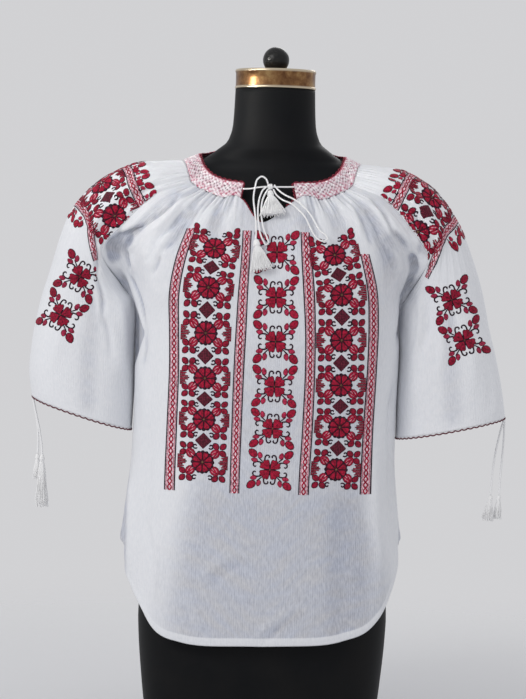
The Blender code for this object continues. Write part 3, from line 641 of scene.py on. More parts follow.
def guide_row(centre, guides, station):
    """Shares and points of one yoke row, from the left seam to the right seam."""
    points = [(share, line[station]) for share, line in guides]
    left = [(-share, (-x, y, z)) for share, (x, y, z) in reversed(points)]
    right = [(share, (x * RIGHT_SCALE[station], y, z)) for share, (x, y, z) in points]
    if guides is FRONT_GUIDES:
        right[0] = (SLIT_SHARE, RIGHT_CORNER[station])
    row = left + [(0.0, centre[station])] + right
    return np.array([share for share, _ in row]), np.array([point for _, point in row], float)


def body_row(u, share, facing):
    """One row of the body, `share` of the way from the underarm to the hem."""
    angle = np.abs(u) * math.pi / 2
    hem = smooth(*zip(*HEM), np.degrees(angle))
    hem = hem + HEM_SKEW * BODY[-1][1] * np.sin(u * math.pi / 2) * np.cos(angle / 2)
    z = UNDERARM + (hem - UNDERARM) * share
    heights, *widths_and_depths = zip(*reversed(BODY))
    left, right, front, back = (smooth(heights, values, z) for values in widths_and_depths)
    width = np.where(u < 0, left, right)
    depth = front if facing < 0 else back
    x = np.sign(u) * width * np.sin(angle) ** (2 / BODY_ROUND)
    y = facing * depth * np.maximum(np.cos(angle), 0) ** (2 / BODY_ROUND)
    return np.stack((x, y, z), axis=1)


def body_panel(u, v, centre, guides, facing):
    """Bare front or back: u from seam to seam, v from neck (0) by underarm (1) to hem (2)."""
    rows = [smooth(*guide_row(centre, guides, station), u) for station in range(len(YOKE))]
    rows += [body_row(u, share, facing) for share in BODY_KEYS]
    keys = list(YOKE) + [1 + share for share in BODY_KEYS]
    return blend_rows(keys, rows, v)


def front_surface(u, v):
    return body_panel(u, v, FRONT_CENTRE, FRONT_GUIDES, -1)


def fold_heights(folds, u, v):
    """Sum of the long soft folds at each (u, v)."""
    total = np.zeros_like(u)
    for middle, width, depth, start, end in folds:
        length = ramp(start, start + 0.25, v) * (1 - ramp(end - 0.15, end + 0.05, v))
        total += depth * np.exp(-((u - middle) / width) ** 2) * length
    return total


def gather_heights(u, v, low, high, count):
    """Gathers at the neck that run together in pairs further down, under fine pleats by the band."""
    share = np.clip((u - low) / (high - low), 0, 1)
    fine = np.cos(2 * math.pi * count * share) * (1 - ramp(0.12, 0.42, v))
    uneven = 1 + 0.35 * np.sin(9.3 * share + 1.1) + 0.25 * np.sin(23.1 * share)
    wide = np.cos(math.pi * count * share + 0.7 * np.sin(5 * share)) * uneven
    wide = wide * ramp(0.05, 0.4, v) * (1 - ramp(0.55, 1.05, v))
    wander = share + 0.0035 * np.sin(41 * share) + 0.002 * np.sin(97 * share + 2)
    pleat = np.abs(np.sin(math.pi * 2.5 * count * wander)) - 0.64
    length = 0.16 + 0.09 * np.sin(61 * share) + 0.07 * np.sin(29 * share + 1.3)
    pleat = pleat * (1 - ramp(0.3 * length, 2.4 * length, v))
    crinkle = np.sin(190 * share + 3 * np.sin(13 * share)) + 0.7 * np.sin(331 * share + 2.1 * v + 1)
    crinkle = crinkle * ramp(0.1, 0.5, v) * (1 - ramp(0.8, 1.3, v))
    return 0.55 * GATHER * fine + SWELL * wide + 1.9 * pleat + 0.22 * crinkle


def crease_heights(creases, x, z):
    """Creases: each a trough or ridge along a line that fades at both ends."""
    total = np.zeros_like(x)
    for x0, z0, x1, z1, width, depth in creases:
        along = np.array((x1 - x0, z1 - z0), float)
        length = np.linalg.norm(along)
        along /= length
        reach = (x - x0) * along[0] + (z - z0) * along[1]
        off = (x - x0) * along[1] - (z - z0) * along[0]
        off = off + 0.06 * length * np.sin(math.pi * np.clip(reach / length, 0, 1))
        faded = ramp(-0.15 * length, 0.3 * length, reach) * (1 - ramp(0.6 * length, 1.15 * length, reach))
        total += depth * np.exp(-(off / width) ** 2) * faded
    return total


def beside(u, places, width):
    """1 away from each of `places`, 0 on them."""
    kept = np.ones_like(u)
    for place in places:
        kept = kept * ramp(0.25 * width, width, np.abs(u - place))
    return kept


def tucked(x, z):
    """Share by which the cloth is turned in along the side seams under the armpits."""
    left = ramp(0, 6, np.interp(z, (465, 520, 585, 600), (-174, -158, -183, -189)) - x)
    right = ramp(0, 6, x - np.interp(z, (500, 545, 572, 604), (172, 165, 171, 184)))
    return left * beside(z, (460, 612), 30) + right * beside(z, (490, 612), 30)


def front_heights(u, v, base):
    gathers = gather_heights(u, v, -1, 1, PLEATS)
    below_slit = ramp(0.7, 1.0, v)
    beside_slit = ramp(0.10, 0.24, np.abs(u)) * (1 - below_slit) + below_slit
    folds = fold_heights(FRONT_FOLDS, u, v) + crease_heights(FRONT_CREASES, base[:, 0], base[:, 2])
    stiffened = 0.65 * ramp(0.30, 0.50, v) * (1 - ramp(0.62, 0.72, np.abs(u)))
    gathers = gathers * (1 - stiffened)
    total = gathers * beside_slit * beside(u, (-1, 1), 0.10) + folds * beside(u, (-1, 1), 0.03)
    total = total - 5.0 * tucked(base[:, 0], base[:, 2]) * beside(u, (-1, 1), 0.06)
    hem = ramp(0, HEM_BAND * 0.5, HEM_BAND - (base[:, 2] - front_surface(u, np.full_like(u, 2.0))[:, 2]))
    return total + 0.6 * hem * (v > 1.5)


def unit(vectors):
    """Vectors of length 1 in the same directions."""
    return vectors / np.maximum(np.linalg.norm(vectors, axis=-1, keepdims=True), 1e-9)


def unit_normals(surface, u, v, out):
    """Unit normals of a surface; `out` is 1 or -1 to turn them to the outside."""
    across = surface(u + SURFACE_STEP, v) - surface(u - SURFACE_STEP, v)
    along = surface(u, v + SURFACE_STEP) - surface(u, v - SURFACE_STEP)
    return unit(out * np.cross(across, along))


def grid_normals(points, out):
    """Unit normals of a grid of points, rows down and columns along u."""
    return unit(out * np.cross(np.gradient(points, axis=1), np.gradient(points, axis=0)))


def lay_out(surface, heights, out, u_line, v_line):
    """Outer face of a panel as a grid: its bare surface, its gathered points and their normals."""
    v, u = (line.ravel() for line in np.meshgrid(v_line, u_line, indexing="ij"))
    base = surface(u, v)
    inner_u = np.clip(u, u_line[0] + SURFACE_STEP, u_line[-1] - SURFACE_STEP)
    bare = unit_normals(surface, inner_u, np.clip(v, 0.005, 1.995), out)
    raised = heights(u, v, base)
    shape = (len(v_line), len(u_line), 3)
    points = (base + bare * (raised + CLOTH_OUT)[:, None]).reshape(shape)
    return {"u": u_line, "v": v_line, "bare": base.reshape(shape), "points": points,
            "raised": raised.reshape(shape[:2]), "normals": grid_normals(points, out)}


def behind_black(panel):
    """How dark the cloth is painted: the form's black seen through one layer, and painted shade in deep creases."""
    x, z = panel["points"][..., 0], panel["points"][..., 2]
    beyond = np.abs(x) / np.interp(z, form_rows[:, 0], form_rows[:, 1])
    # On the right the dark reaches further out: there it is partly see-through black, partly painted shade on the side
    # away from the key light.
    close = 1 - np.where(x < 0, ramp(0.58, 0.96, beyond), ramp(0.88, 1.14, beyond))
    share = np.interp(z, (312, 340, 440, 540, 600, 640), (1.0, 0.76, 0.68, 0.42, 0.55, 0.95))
    share = share * (1 - 0.35 * ramp(30, 90, x) * ramp(610, 660, z))
    folded = ramp(-1.6, 1.4, panel["raised"]) * np.interp(z, (420, 600), (0.30, 0.92))
    bare = panel["bare"][..., 2]
    doubled = ramp(0, 1.5, HEM_BAND - (bare - bare[-1:]))
    # Painted shade: deep troughs, and the cloth turned in under the armpits, take the dark see-through colour.
    painted_crease_shade = 0.9 * ramp(1.4, 4.4, -panel["raised"]) * ramp(420, 480, z)
    painted_crease_shade = np.maximum(painted_crease_shade, 0.9 * tucked(x, z))
    return np.maximum(close * share * (1 - folded) * (1 - 0.85 * doubled), painted_crease_shade)


def mesh_grid(points, scale=MM):
    """Grid mesh laid on rows of points."""
    rows, columns = points.shape[:2]
    bpy.ops.mesh.primitive_grid_add(x_subdivisions=columns - 1, y_subdivisions=rows - 1, size=2)
    item = bpy.context.object
    item.data.vertices.foreach_set("co", (points * scale).astype(np.float32).ravel())
    return item


def set_shares(item, label, values):
    """Shares at a mesh's points, for its finish to read."""
    layer = item.data.attributes.new(label, "FLOAT", "POINT")
    layer.data.foreach_set("value", values.astype(np.float32).ravel())


def sewn_panel(panel, turned_round, joined):
    """Cloth shell on a panel's grid, with its cut as UVs in metres; `joined` closes a tube."""
    points, flat, behind = (panel[layer][::-1] for layer in ("points", "flat", "behind"))
    if turned_round:
        points, flat, behind = points[:, ::-1], flat[:, ::-1], behind[:, ::-1]
    item = mesh_grid(points)
    mesh = item.data
    corners = np.empty(len(mesh.loops), dtype=np.int32)
    mesh.loops.foreach_get("vertex_index", corners)
    cut = (flat.reshape(-1, 2) * MM)[corners]
    mesh.uv_layers[0].data.foreach_set("uv", cut.astype(np.float32).ravel())
    set_shares(item, "behind_black", behind)
    mesh.update()
    if joined:
        bpy.ops.object.mode_set(mode="EDIT")
        bpy.ops.mesh.select_all(action="SELECT")
        bpy.ops.mesh.remove_doubles(threshold=0.00002)
        bpy.ops.object.mode_set(mode="OBJECT")
    wall = item.modifiers.new("wall", "SOLIDIFY")
    wall.thickness = CLOTH * MM
    wall.offset = -1
    apply_all(item)
    bpy.ops.object.shade_smooth()
    return item


def flat_cut(panel, row):
    """Cut of a panel: across is measured along one row, down along each column."""
    points = panel["bare"]
    across = np.linalg.norm(np.diff(points[row], axis=0), axis=1)
    across = np.concatenate(([0], np.cumsum(across)))
    down = np.linalg.norm(np.diff(points, axis=0), axis=2)
    down = np.concatenate((np.zeros((1, points.shape[1])), np.cumsum(down, axis=0)))
    across = across - across[-1] / 2
    return np.stack(np.broadcast_arrays(across[None, :], -down), axis=2)


front_u = np.linspace(-1, 1, FRONT_COLUMNS + 1)
front_v = np.concatenate((np.linspace(0, 1, FRONT_YOKE_ROWS + 1),
                          np.linspace(1, 1.95, FRONT_BODY_ROWS + 1)[1:],
                          np.linspace(1.95, 2, FRONT_HEM_ROWS + 1)[1:]))
front = lay_out(front_surface, front_heights, -1, front_u, front_v)
front["flat"] = flat_cut(front, FRONT_YOKE_ROWS + BELOW_YOKE)
front["behind"] = behind_black(front)

cotton = new_material("cotton", (0.80, 0.82, 0.86), 0.85, specular=0.2)
shader_of(cotton).inputs["Sheen Weight"].default_value = 0.12
crinkles = texture(cotton, cut=True, stretch=(430.0, 110.0, 1.0), Scale=1.0, Detail=4.0, Roughness=0.6)
slubs = texture(cotton, cut=True, stretch=(60.0, 360.0, 1.0), Scale=1.0, Detail=3.0)
patches = texture(cotton, cut=True, stretch=(26.0, 60.0, 1.0), Scale=1.0, Detail=3.0)
weave, weft = (texture(cotton, "ShaderNodeTexWave", True, Scale=260.0, Distortion=0.6, bands_direction=way)
               for way in ("X", "Y"))
ribs = texture(cotton, "ShaderNodeTexWave", True, Scale=118.0, Distortion=1.6, bands_direction="X")
opaque = two_tone(crinkles, 0.28, 0.70, (0.79, 0.81, 0.85), (0.86, 0.87, 0.90))
sheer = two_tone(calculated("MULTIPLY_ADD", ribs, 0.16, crinkles), 0.36, 0.78,
                 (0.44, 0.455, 0.515), (0.655, 0.67, 0.73))
patchy = mixed(1.0, sheer, two_tone(patches, 0.38, 0.64, (0.93, 0.955, 1.0), (1.0, 0.985, 0.955)), "MULTIPLY")
# Where the mesh carries see-through black and painted shade, the cloth takes the darker sheer colour.
feed(cotton, "Base Color", mixed(painted(cotton, "behind_black"), opaque, patchy))
for relief, strength, distance in ((crinkles, 0.55, 0.0009), (slubs, 0.45, 0.0005), (ribs, 0.35, 0.0003),
                                   (weave, 0.12, 0.0002), (weft, 0.12, 0.0002)):
    add_bump(cotton, relief, strength, distance)

front_item = sewn_panel(front, False, False)
finish_piece(front_item, "blouse_front", cotton, "cotton", "front_panel")
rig.sheet(front_item, flat=(0.56, 0.58), held="gathered", rests_on=["form_torso"], area=0.30)


# ---------------------------------------------------------------- back panel
# The same cotton as the front, without slit or embroidery, gathered along the whole back of the
# neckband and falling straight to its own rounded hem.
BACK_CENTRE = ((0, 82, 752), (0, 92, 722), (0, 100, 680), (0, 104, 630), (0, 106, 575))
BACK_GUIDES = (
    (0.16, ((19, 81, 752), (22, 92, 722), (25, 100, 680), (28, 104, 630), (29, 106, 575))),
    (0.44, ((52, 72, 749), (62, 86, 720), (72, 96, 680), (80, 102, 630), (84, 102, 575))),
    (0.70, ((86, 57, 745), (104, 72, 722), (126, 84, 682), (146, 88, 630), (148, 76, 575))),
    (0.86, ((97, 49, 743), (124, 63, 723), (160, 68, 686), (187, 46, 634), (176, 32, 575))),
    (1.00, ((106, 40, 742), (143, 52, 728), (186, 58, 690), (216, 52, 636), (190, 9, 575))),
)
BACK_FOLDS = (
    (-0.72, 0.06, 5.0, 1.20, 2.05),
    (-0.45, 0.07, -4.0, 1.10, 2.05),
    (-0.16, 0.06, 4.2, 1.30, 2.05),
    (0.12, 0.06, -4.0, 1.20, 2.05),
    (0.40, 0.07, 4.8, 1.10, 2.05),
    (0.70, 0.06, -4.2, 1.30, 2.05),
)
# Creases over the back: x and z of both ends, half width, depth.
BACK_CREASES = (
    (-62, 730, -104, 640, 6.0, -2.4), (-46, 728, -74, 612, 6.0, 2.0), (-24, 730, -34, 620, 6.0, -1.8),
    (0, 730, 4, 600, 6.5, 1.8), (22, 730, 34, 610, 6.0, -2.0), (48, 728, 78, 628, 6.0, 2.2),
    (70, 728, 112, 646, 6.0, -2.4), (-90, 726, -150, 650, 6.0, 2.2), (96, 724, 148, 656, 6.0, 2.0),
    (-30, 560, -46, 300, 9.0, 1.8), (52, 540, 44, 280, 9.0, -1.8), (-110, 520, -104, 330, 9.0, -1.6),
    (118, 480, 124, 280, 9.0, 1.8), (-6, 420, 8, 200, 8.0, -1.6),
)
BACK_COLUMNS = 180


def back_surface(u, v):
    return body_panel(u, v, BACK_CENTRE, BACK_GUIDES, 1)


def back_heights(u, v, base):
    folds = fold_heights(BACK_FOLDS, u, v) + crease_heights(BACK_CREASES, base[:, 0], base[:, 2])
    return (gather_heights(u, v, -1, 1, PLEATS) + folds) * beside(u, (-1, 1), 0.10)


back_u = np.linspace(-1, 1, BACK_COLUMNS + 1)
back = lay_out(back_surface, back_heights, 1, back_u, front_v)
back["flat"] = flat_cut(back, FRONT_YOKE_ROWS + BELOW_YOKE)
back["behind"] = behind_black(back)
back_item = sewn_panel(back, True, False)
finish_piece(back_item, "blouse_back", cotton, "cotton", "back_panel")
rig.sheet(back_item, flat=(0.57, 0.64), held="gathered", rests_on=["form_torso"], area=0.32)


# ---------------------------------------------------------------- sleeves
# Two wide raglan sleeves of the same cotton, gathered with the body into the neckband, sewn along
# slanting seams to the front and the back, and closed along one seam inside the arm.
SHOULDER = {
    -1: ((117, 741), (168, 738), (215, 721), (262, 672), (289, 585)),
    1: ((113, 741), (160, 737), (204, 718), (241, 672), (273, 587)),
}
SLEEVE_BULGE = (0, 3, 7, 14, 50)
# Sleeve tube below the underarm: inner x and z, outer x and z, half depth.
SLEEVE_TUBE = {
    -1: ((176, 559, 296, 562, 56), (173.6, 536, 301, 540, 58), (174.6, 498, 307, 505, 60),
         (174, 450, 310, 468, 60), (176, 393, 306, 433, 60)),
    1: ((170, 559, 279, 562, 56), (168.2, 536, 284, 538, 58), (169.4, 495, 294, 499, 60),
        (168, 445, 303, 458, 60), (168, 390, 309, 420, 60)),
}
SLEEVE_KEYS = (1.1, 1.25, 1.5, 1.75, 2.0)
SLEEVE_FOLDS = {
    -1: ((0.12, 0.035, 4.0, 0.95, 1.75), (0.22, 0.045, -3.5, 0.9, 2.05), (0.36, 0.05, 3.0, 1.1, 2.05),
         (0.62, 0.05, -3.0, 0.9, 2.05), (0.80, 0.05, 3.5, 0.9, 2.05)),
    1: ((0.13, 0.035, 3.5, 0.95, 1.85), (0.25, 0.05, -3.5, 1.0, 2.05), (0.40, 0.05, 2.6, 1.2, 2.05),
        (0.64, 0.05, -3.0, 0.9, 2.05), (0.82, 0.05, 3.0, 0.9, 2.05)),
}
SLEEVE_CREASES = {
    -1: ((-225, 628, -222, 590, 2.6, -3.4), (-222, 592, -212, 540, 3.0, -3.4),
         (-212, 542, -202, 485, 3.6, -2.8), (-231, 624, -228, 588, 3.4, 2.4),
         (-228, 590, -218, 538, 3.6, 2.2), (-196, 560, -190, 470, 5.0, 2.0),
         (-130, 706, -196, 662, 4.0, -2.2), (-140, 722, -206, 690, 4.0, 2.0),
         (-268, 560, -276, 470, 7.0, 1.8)),
    1: ((190, 580, 188, 500, 3.0, 3.0), (197, 584, 196, 500, 3.5, -2.6), (212, 560, 216, 470, 5.0, 2.2),
        (226, 600, 232, 520, 5.0, -2.0), (128, 706, 190, 664, 4.0, -2.2), (134, 722, 196, 692, 4.0, 2.0),
        (250, 540, 262, 450, 7.0, 1.8), (276, 500, 284, 430, 6.0, -1.6)),
}
SIDES = ((-1, "left"), (1, "right"))
SLEEVE_PLEATS = 10
SLEEVE_COLUMNS = 200
SLEEVE_YOKE_ROWS = 70
SLEEVE_TUBE_ROWS = 66


def sleeve_surface(side):
    """Surface function of one sleeve: u from front seam (0) over the shoulder to back seam (1)."""
    def surface(u, v):
        s = 1 - np.abs(2 * u - 1)
        ahead = u < 0.5
        rows = []
        for station, key in enumerate(YOKE):
            scale = 1.0 if side < 0 else RIGHT_SCALE[station]
            fx, fy, fz = FRONT_GUIDES[-1][1][station]
            bx, by, bz = BACK_GUIDES[-1][1][station]
            ox, oz = SHOULDER[side][station]
            closed = ramp(0.6, 1.0, key)
            across = s * (1 - closed) + (1 - np.cos(math.pi * s)) / 2 * closed
            climb = np.sin(math.pi * s / 2) * (1 - closed) + (1 - np.cos(math.pi * s)) / 2 * closed
            seam_x = np.where(ahead, fx, bx) * scale
            seam_y = np.where(ahead, fy, by)
            seam_z = np.where(ahead, fz, bz)
            bulge = SLEEVE_BULGE[station] * np.sin(math.pi * s)
            x = seam_x + (ox - seam_x) * across
            y = seam_y * np.cos(math.pi * s / 2) + np.where(ahead, -bulge, bulge)
            z = seam_z + (oz - seam_z) * climb
            rows.append(np.stack((side * x, y, z), axis=1))
        for inner_x, inner_z, outer_x, outer_z, depth in SLEEVE_TUBE[side]:
            across = (1 - np.cos(math.pi * s)) / 2
            bulge = depth * np.sin(math.pi * s)
            x = inner_x + (outer_x - inner_x) * across
            z = inner_z + (outer_z - inner_z) * across
            rows.append(np.stack((side * x, np.where(ahead, -bulge, bulge), z), axis=1))
        return blend_rows(list(YOKE) + list(SLEEVE_KEYS), rows, v)
    return surface


def sleeve_heights(side):
    def heights(u, v, base):
        creases = crease_heights(SLEEVE_CREASES[side], base[:, 0], base[:, 2]) * (1 - ramp(0.4, 0.5, u))
        total = gather_heights(u, v, 0, 1, SLEEVE_PLEATS) + fold_heights(SLEEVE_FOLDS[side], u, v) + creases
        return total * beside(u, (0, 1), 0.06)
    return heights


sleeve_u = np.linspace(0, 1, SLEEVE_COLUMNS + 1)
sleeve_v = np.concatenate((np.linspace(0, 1, SLEEVE_YOKE_ROWS + 1),
                           np.linspace(1, 2, SLEEVE_TUBE_ROWS + 1)[1:]))
tube_rows = sleeve_v > 1.0
sleeves = {}
for side, label in SIDES:
    panel = lay_out(sleeve_surface(side), sleeve_heights(side), -side, sleeve_u, sleeve_v)
    inner = (panel["points"][tube_rows, 0] + panel["points"][tube_rows, -1]) / 2
    panel["points"][tube_rows, 0] = inner
    panel["points"][tube_rows, -1] = inner
    panel["flat"] = flat_cut(panel, SLEEVE_YOKE_ROWS + BELOW_YOKE)
    # Painted shade in the sleeves' deep creases: no form lies behind them.
    panel["behind"] = 0.5 * ramp(1.4, 4.4, -panel["raised"])
    sleeves[side] = panel
    item = sewn_panel(panel, side < 0, True)
    finish_piece(item, "blouse_sleeve_" + label, cotton, "cotton", "sleeve_" + label)
    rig.sheet(item, flat=(0.42, 0.43), held="gathered", rests_on=["form_torso"], area=0.145)


# ---------------------------------------------------------------- neckband
# A standing band where all four panels are gathered together: their pleats are caught in rows of
# honeycomb smocking with pink thread, and a dark red crochet edge runs along its top and ends.
BAND_RIGHT_END = ((30, -90, 695), (26, -76, 715))
BAND = (
    ((38, -89, 693), (37, -76, 714)),
    ((64, -79, 695), (59, -66, 717)),
    ((86, -66, 703), (76, -53, 723)),
    ((105, -50, 714), (88, -37, 734)),
    ((112, -33, 733), (93, -19, 744)),
    ((117, 0, 741), (95, 0, 750)),
    ((106, 40, 742), (87, 30, 752)),
    ((86, 57, 745), (71, 44, 756)),
    ((52, 72, 749), (42, 56, 760)),
    ((0, 82, 752), (0, 64, 763)),
)
BAND_WALL = 1.6
BAND_LIFT = 0.6       # gap from the cloth's neck edge to the band
BAND_COLUMNS = 720
BAND_ROWS = 24
PLEAT = 6.4           # width of one smocking cell along the band
CELL = 6.6            # height of one row of cells
PUFF = 1.9            # how far the cells swell outwards


def neck_edge():
    """The panels' neck edges, from the slit's left corner round the back to its right corner."""
    steps = np.linspace(0, 1, 40)
    runs = (
        (front_surface, -SLIT_SHARE, -1),
        (sleeve_surface(-1), 0, 1),
        (back_surface, -1, 1),
        (sleeve_surface(1), 1, 0),
        (front_surface, 1, SLIT_SHARE),
    )
    neck = np.zeros(len(steps) - 1)
    return np.concatenate([surface(start + (end - start) * steps[1:], neck) for surface, start, end in runs])


def reach_along(line):
    """Length run at each point of a line."""
    return np.concatenate(([0], np.cumsum(np.linalg.norm(np.diff(line, axis=0), axis=1))))


def mirrored(points):
    left = [(-x, y, z) for x, y, z in points]
    right = [(x * RIGHT_SCALE[0], y, z) for x, y, z in points[-2::-1]]
    return np.array(left + right, float)


band_low_edge = neck_edge()
band_low_shares = reach_along(band_low_edge) / reach_along(band_low_edge)[-1]
band_low_keys = mirrored([low for low, _ in BAND])
band_high_keys = mirrored([high for _, high in BAND])
band_low_keys[-1], band_high_keys[-1] = BAND_RIGHT_END
band_shares = reach_along(band_low_keys) / reach_along(band_low_keys)[-1]


def band_points(u, across):
    """Points of the band's middle surface at shares along it and across it."""
    below = np.stack([np.interp(u, band_low_shares, band_low_edge[:, axis]) for axis in range(3)], axis=-1)
    above = smooth(band_shares, band_high_keys, u.ravel()).reshape(below.shape)
    start = below + unit(above - below) * BAND_LIFT
    return start + (above - start) * across[..., None]


def close_ends():
    """Joins the active mesh's touching points, fills its open ends and turns its faces outwards."""
    bpy.ops.object.mode_set(mode="EDIT")
    bpy.ops.mesh.select_all(action="SELECT")
    bpy.ops.mesh.remove_doubles(threshold=0.00001)
    bpy.ops.mesh.select_all(action="DESELECT")
    bpy.ops.mesh.select_non_manifold()
    bpy.ops.mesh.fill_holes(sides=0)
    bpy.ops.mesh.select_all(action="SELECT")
    bpy.ops.mesh.normals_make_consistent(inside=False)
    bpy.ops.object.mode_set(mode="OBJECT")
    bpy.ops.object.shade_smooth()


# The band's rows go up its outer face and down its inner one: share across, then side.
band_steps = [(row / BAND_ROWS, 1) for row in range(BAND_ROWS + 1)] + [(1, -1), (0.5, -1), (0, -1), (0, 1)]
band_row = np.zeros((1, BAND_COLUMNS + 1))
across_grid, side_grid = (np.array(steps)[:, None] + band_row for steps in zip(*band_steps))
u_grid = np.zeros((len(band_steps), 1)) + np.linspace(0, 1, BAND_COLUMNS + 1)[None, :]
middle_points = band_points(u_grid, across_grid)
band_length = reach_along(middle_points[BAND_ROWS // 2])
up = band_points(u_grid, across_grid * 0 + 1) - band_points(u_grid, across_grid * 0)
band_height = np.linalg.norm(up[:1], axis=-1)
ahead = band_points(np.minimum(u_grid + SURFACE_STEP, 1), across_grid)
ahead = ahead - band_points(np.maximum(u_grid - SURFACE_STEP, 0), across_grid)
run = band_length[None, :] / PLEAT
run = run + 0.10 * np.sin(2.3 * run + 9 * across_grid) + 0.06 * np.sin(7.1 * run)
climb = across_grid * band_height / CELL + 0.08 * np.sin(3.7 * run)
slant_up = np.cos(math.pi * (run + climb))
slant_down = np.cos(math.pi * (run - climb))
puff = np.abs(slant_up * slant_down)
edge_round = np.clip(np.minimum(across_grid, 1 - across_grid) * 12, 0, 1) ** 0.5
lift = side_grid * BAND_WALL / 2 + np.where(side_grid > 0, PUFF * puff ** 0.6 * edge_round, 0)
middle_rows = ramp(0.22, 0.40, across_grid) * (1 - ramp(0.66, 0.84, across_grid))
thread = (1 - ramp(0.12, 0.48, puff)) * (side_grid > 0) * (1 - 0.55 * middle_rows)
# Painted shade in the pits between the swollen cells, strongest along the middle rows.
pit = (1 - ramp(0.45, 1.10, np.abs(slant_up) + np.abs(slant_down))) * (side_grid > 0)
pit = pit * (0.25 + 0.75 * middle_rows)
band_item = mesh_grid(middle_points + unit(np.cross(up, ahead)) * lift[..., None])
for label, values in (("thread", thread), ("pit", pit), ("top", ramp(0.90, 0.98, across_grid))):
    set_shares(band_item, label, values)
close_ends()

smocking = new_material("smocking", (0.80, 0.55, 0.60), 0.85)
smock_patches = texture(smocking, Scale=230.0, Detail=2.0)
smock_colour = mixed(painted(smocking, "thread"),
                     two_tone(smock_patches, 0.35, 0.60, (0.74, 0.55, 0.62), (0.90, 0.87, 0.89)),
                     two_tone(smock_patches, 0.40, 0.58, (0.52, 0.09, 0.17), (0.80, 0.60, 0.68)))
# Painted shade: the pits are darkened to a deep red.
smock_colour = mixed(painted(smocking, "pit"), smock_colour, (0.12, 0.045, 0.07, 1))
smock_colour = mixed(painted(smocking, "top"), smock_colour, (0.55, 0.10, 0.16, 1))
feed(smocking, "Base Color", smock_colour)
add_bump(smocking, texture(smocking, Scale=900.0, Detail=3.0), 0.5, 0.0004)
finish_piece(band_item, "smocked_neckband", smocking, "smocking", "neckband")


# ---------------------------------------------------------------- laces and bow
# A white twisted cord drawn through the band and tied over the slit in a loose bow; its knot, two
# long loops and one tail lie on the cloth.
LACE = 2.3
KNOT_CENTRE = (-4.0, -85.0, 709.5)
KNOT_HALF = (2.6, 2.5, 3.1)
KNOT_TURNS = 2.6
KNOT_CORD = 2.5
LACE_RUN = ((-37.9, -81.7, 706.5), (-28, -84.0, 707.0), (-19, -85.2, 708.8), (-9.6, -85.2, 709.8),
            (-4, -84.6, 709.9), (1.6, -85.2, 709.8), (11, -85.2, 710.0), (20, -83.8, 710.2),
            (26.6, -82.0, 710.6))
LACE_TAIL = ((-6.4, -86.3, 714.0), (-9.2, -87.4, 719.8), (-14.5, -88.4, 722.6), (-19.8, -89.6, 719.0),
             (-22.6, -92.0, 709), (-24.2, -96.5, 696), (-22.4, -104.0, 680), (-20.4, -110.4, 665),
             (-19.8, -115.8, 653), (-20.0, -121.2, 644.2))
LACE_LOOP_LEFT = (
    (-6.2, -89.4, 706.8), (-9.4, -92.6, 701.5), (-12.8, -97.0, 693), (-14.0, -103.0, 682),
    (-13.2, -109.5, 669), (-10.2, -114.6, 656), (-5.4, -118.4, 644.5), (-4.2, -119.6, 639.5),
    (-7.2, -120.4, 637.2), (-10.2, -119.6, 641.5), (-14.2, -116.6, 650), (-16.6, -112.0, 662),
    (-18.2, -106.0, 675), (-18.0, -99.6, 687), (-15.6, -94.0, 699), (-12.0, -90.8, 706.6),
    (-8.4, -88.9, 709.6))
LACE_LOOP_RIGHT = (
    (0.4, -87.8, 706.8), (4.0, -91.6, 700.5), (12.0, -97.0, 694.0), (23.0, -101.0, 689.5),
    (32.5, -104.8, 682), (41.0, -109.4, 673), (47.0, -113.8, 661.5), (53.6, -117.4, 650),
    (58.4, -119.2, 645.4), (65.0, -119.8, 643.6), (69.6, -119.2, 646.2), (67.4, -118.4, 650.6),
    (60.6, -116.6, 655.4), (54.6, -113.4, 665.0), (48.0, -108.6, 675.6), (39.0, -103.8, 686.2),
    (27.0, -99.6, 694.6), (14.0, -95.0, 700.8), (6.4, -91.2, 706.4), (1.4, -88.2, 712.2))
TWIST = 2.6           # length of one turn of the cord's strands, in diameters


def cord_line(route, step):
    """Points every `step` along a smooth curve through the route."""
    route = np.array(route, float)
    reach = reach_along(route)
    count = max(8, round(reach[-1] / step))
    return smooth(reach, route, np.linspace(0, reach[-1], count))


def twisted_cord(route, diameter):
    """Mesh tube of three strands twisted along a smooth curve through the route, and that curve."""
    line = cord_line(route, diameter / 3)
    ahead = unit(np.gradient(line, axis=0))
    side = np.cross(ahead[0], (0.12, 0.31, 0.94))
    sides = []
    for way in ahead:
        side = side - way * np.dot(side, way)
        side = side / np.linalg.norm(side)
        sides.append(side)
    sides = np.array(sides)
    angle = np.linspace(0, 2 * math.pi, 13)[None, :]
    turn = reach_along(line)[:, None] / (TWIST * diameter) * 2 * math.pi
    strands = np.abs(np.cos(1.5 * (angle - turn)))
    radius = diameter / 2 * (0.80 + 0.20 * strands)
    points = line[:, None] + sides[:, None] * (radius * np.cos(angle))[..., None]
    points = points + np.cross(ahead, sides)[:, None] * (radius * np.sin(angle))[..., None]
    item = mesh_grid(points)
    set_shares(item, "groove", 1 - strands)
    close_ends()
    return item, line * MM


white_cord = new_material("white_cord", (0.86, 0.86, 0.87), 0.8)
fluff_tone = grained(white_cord, 1400.0, 3.0, (0.92, 0.92, 0.93), (0.98, 0.98, 0.98), 0.5, 0.0004)
# Painted shade in the grooves between the twisted strands.
feed(white_cord, "Base Color", mixed(painted(white_cord, "groove"), fluff_tone, (0.83, 0.83, 0.85, 1)))

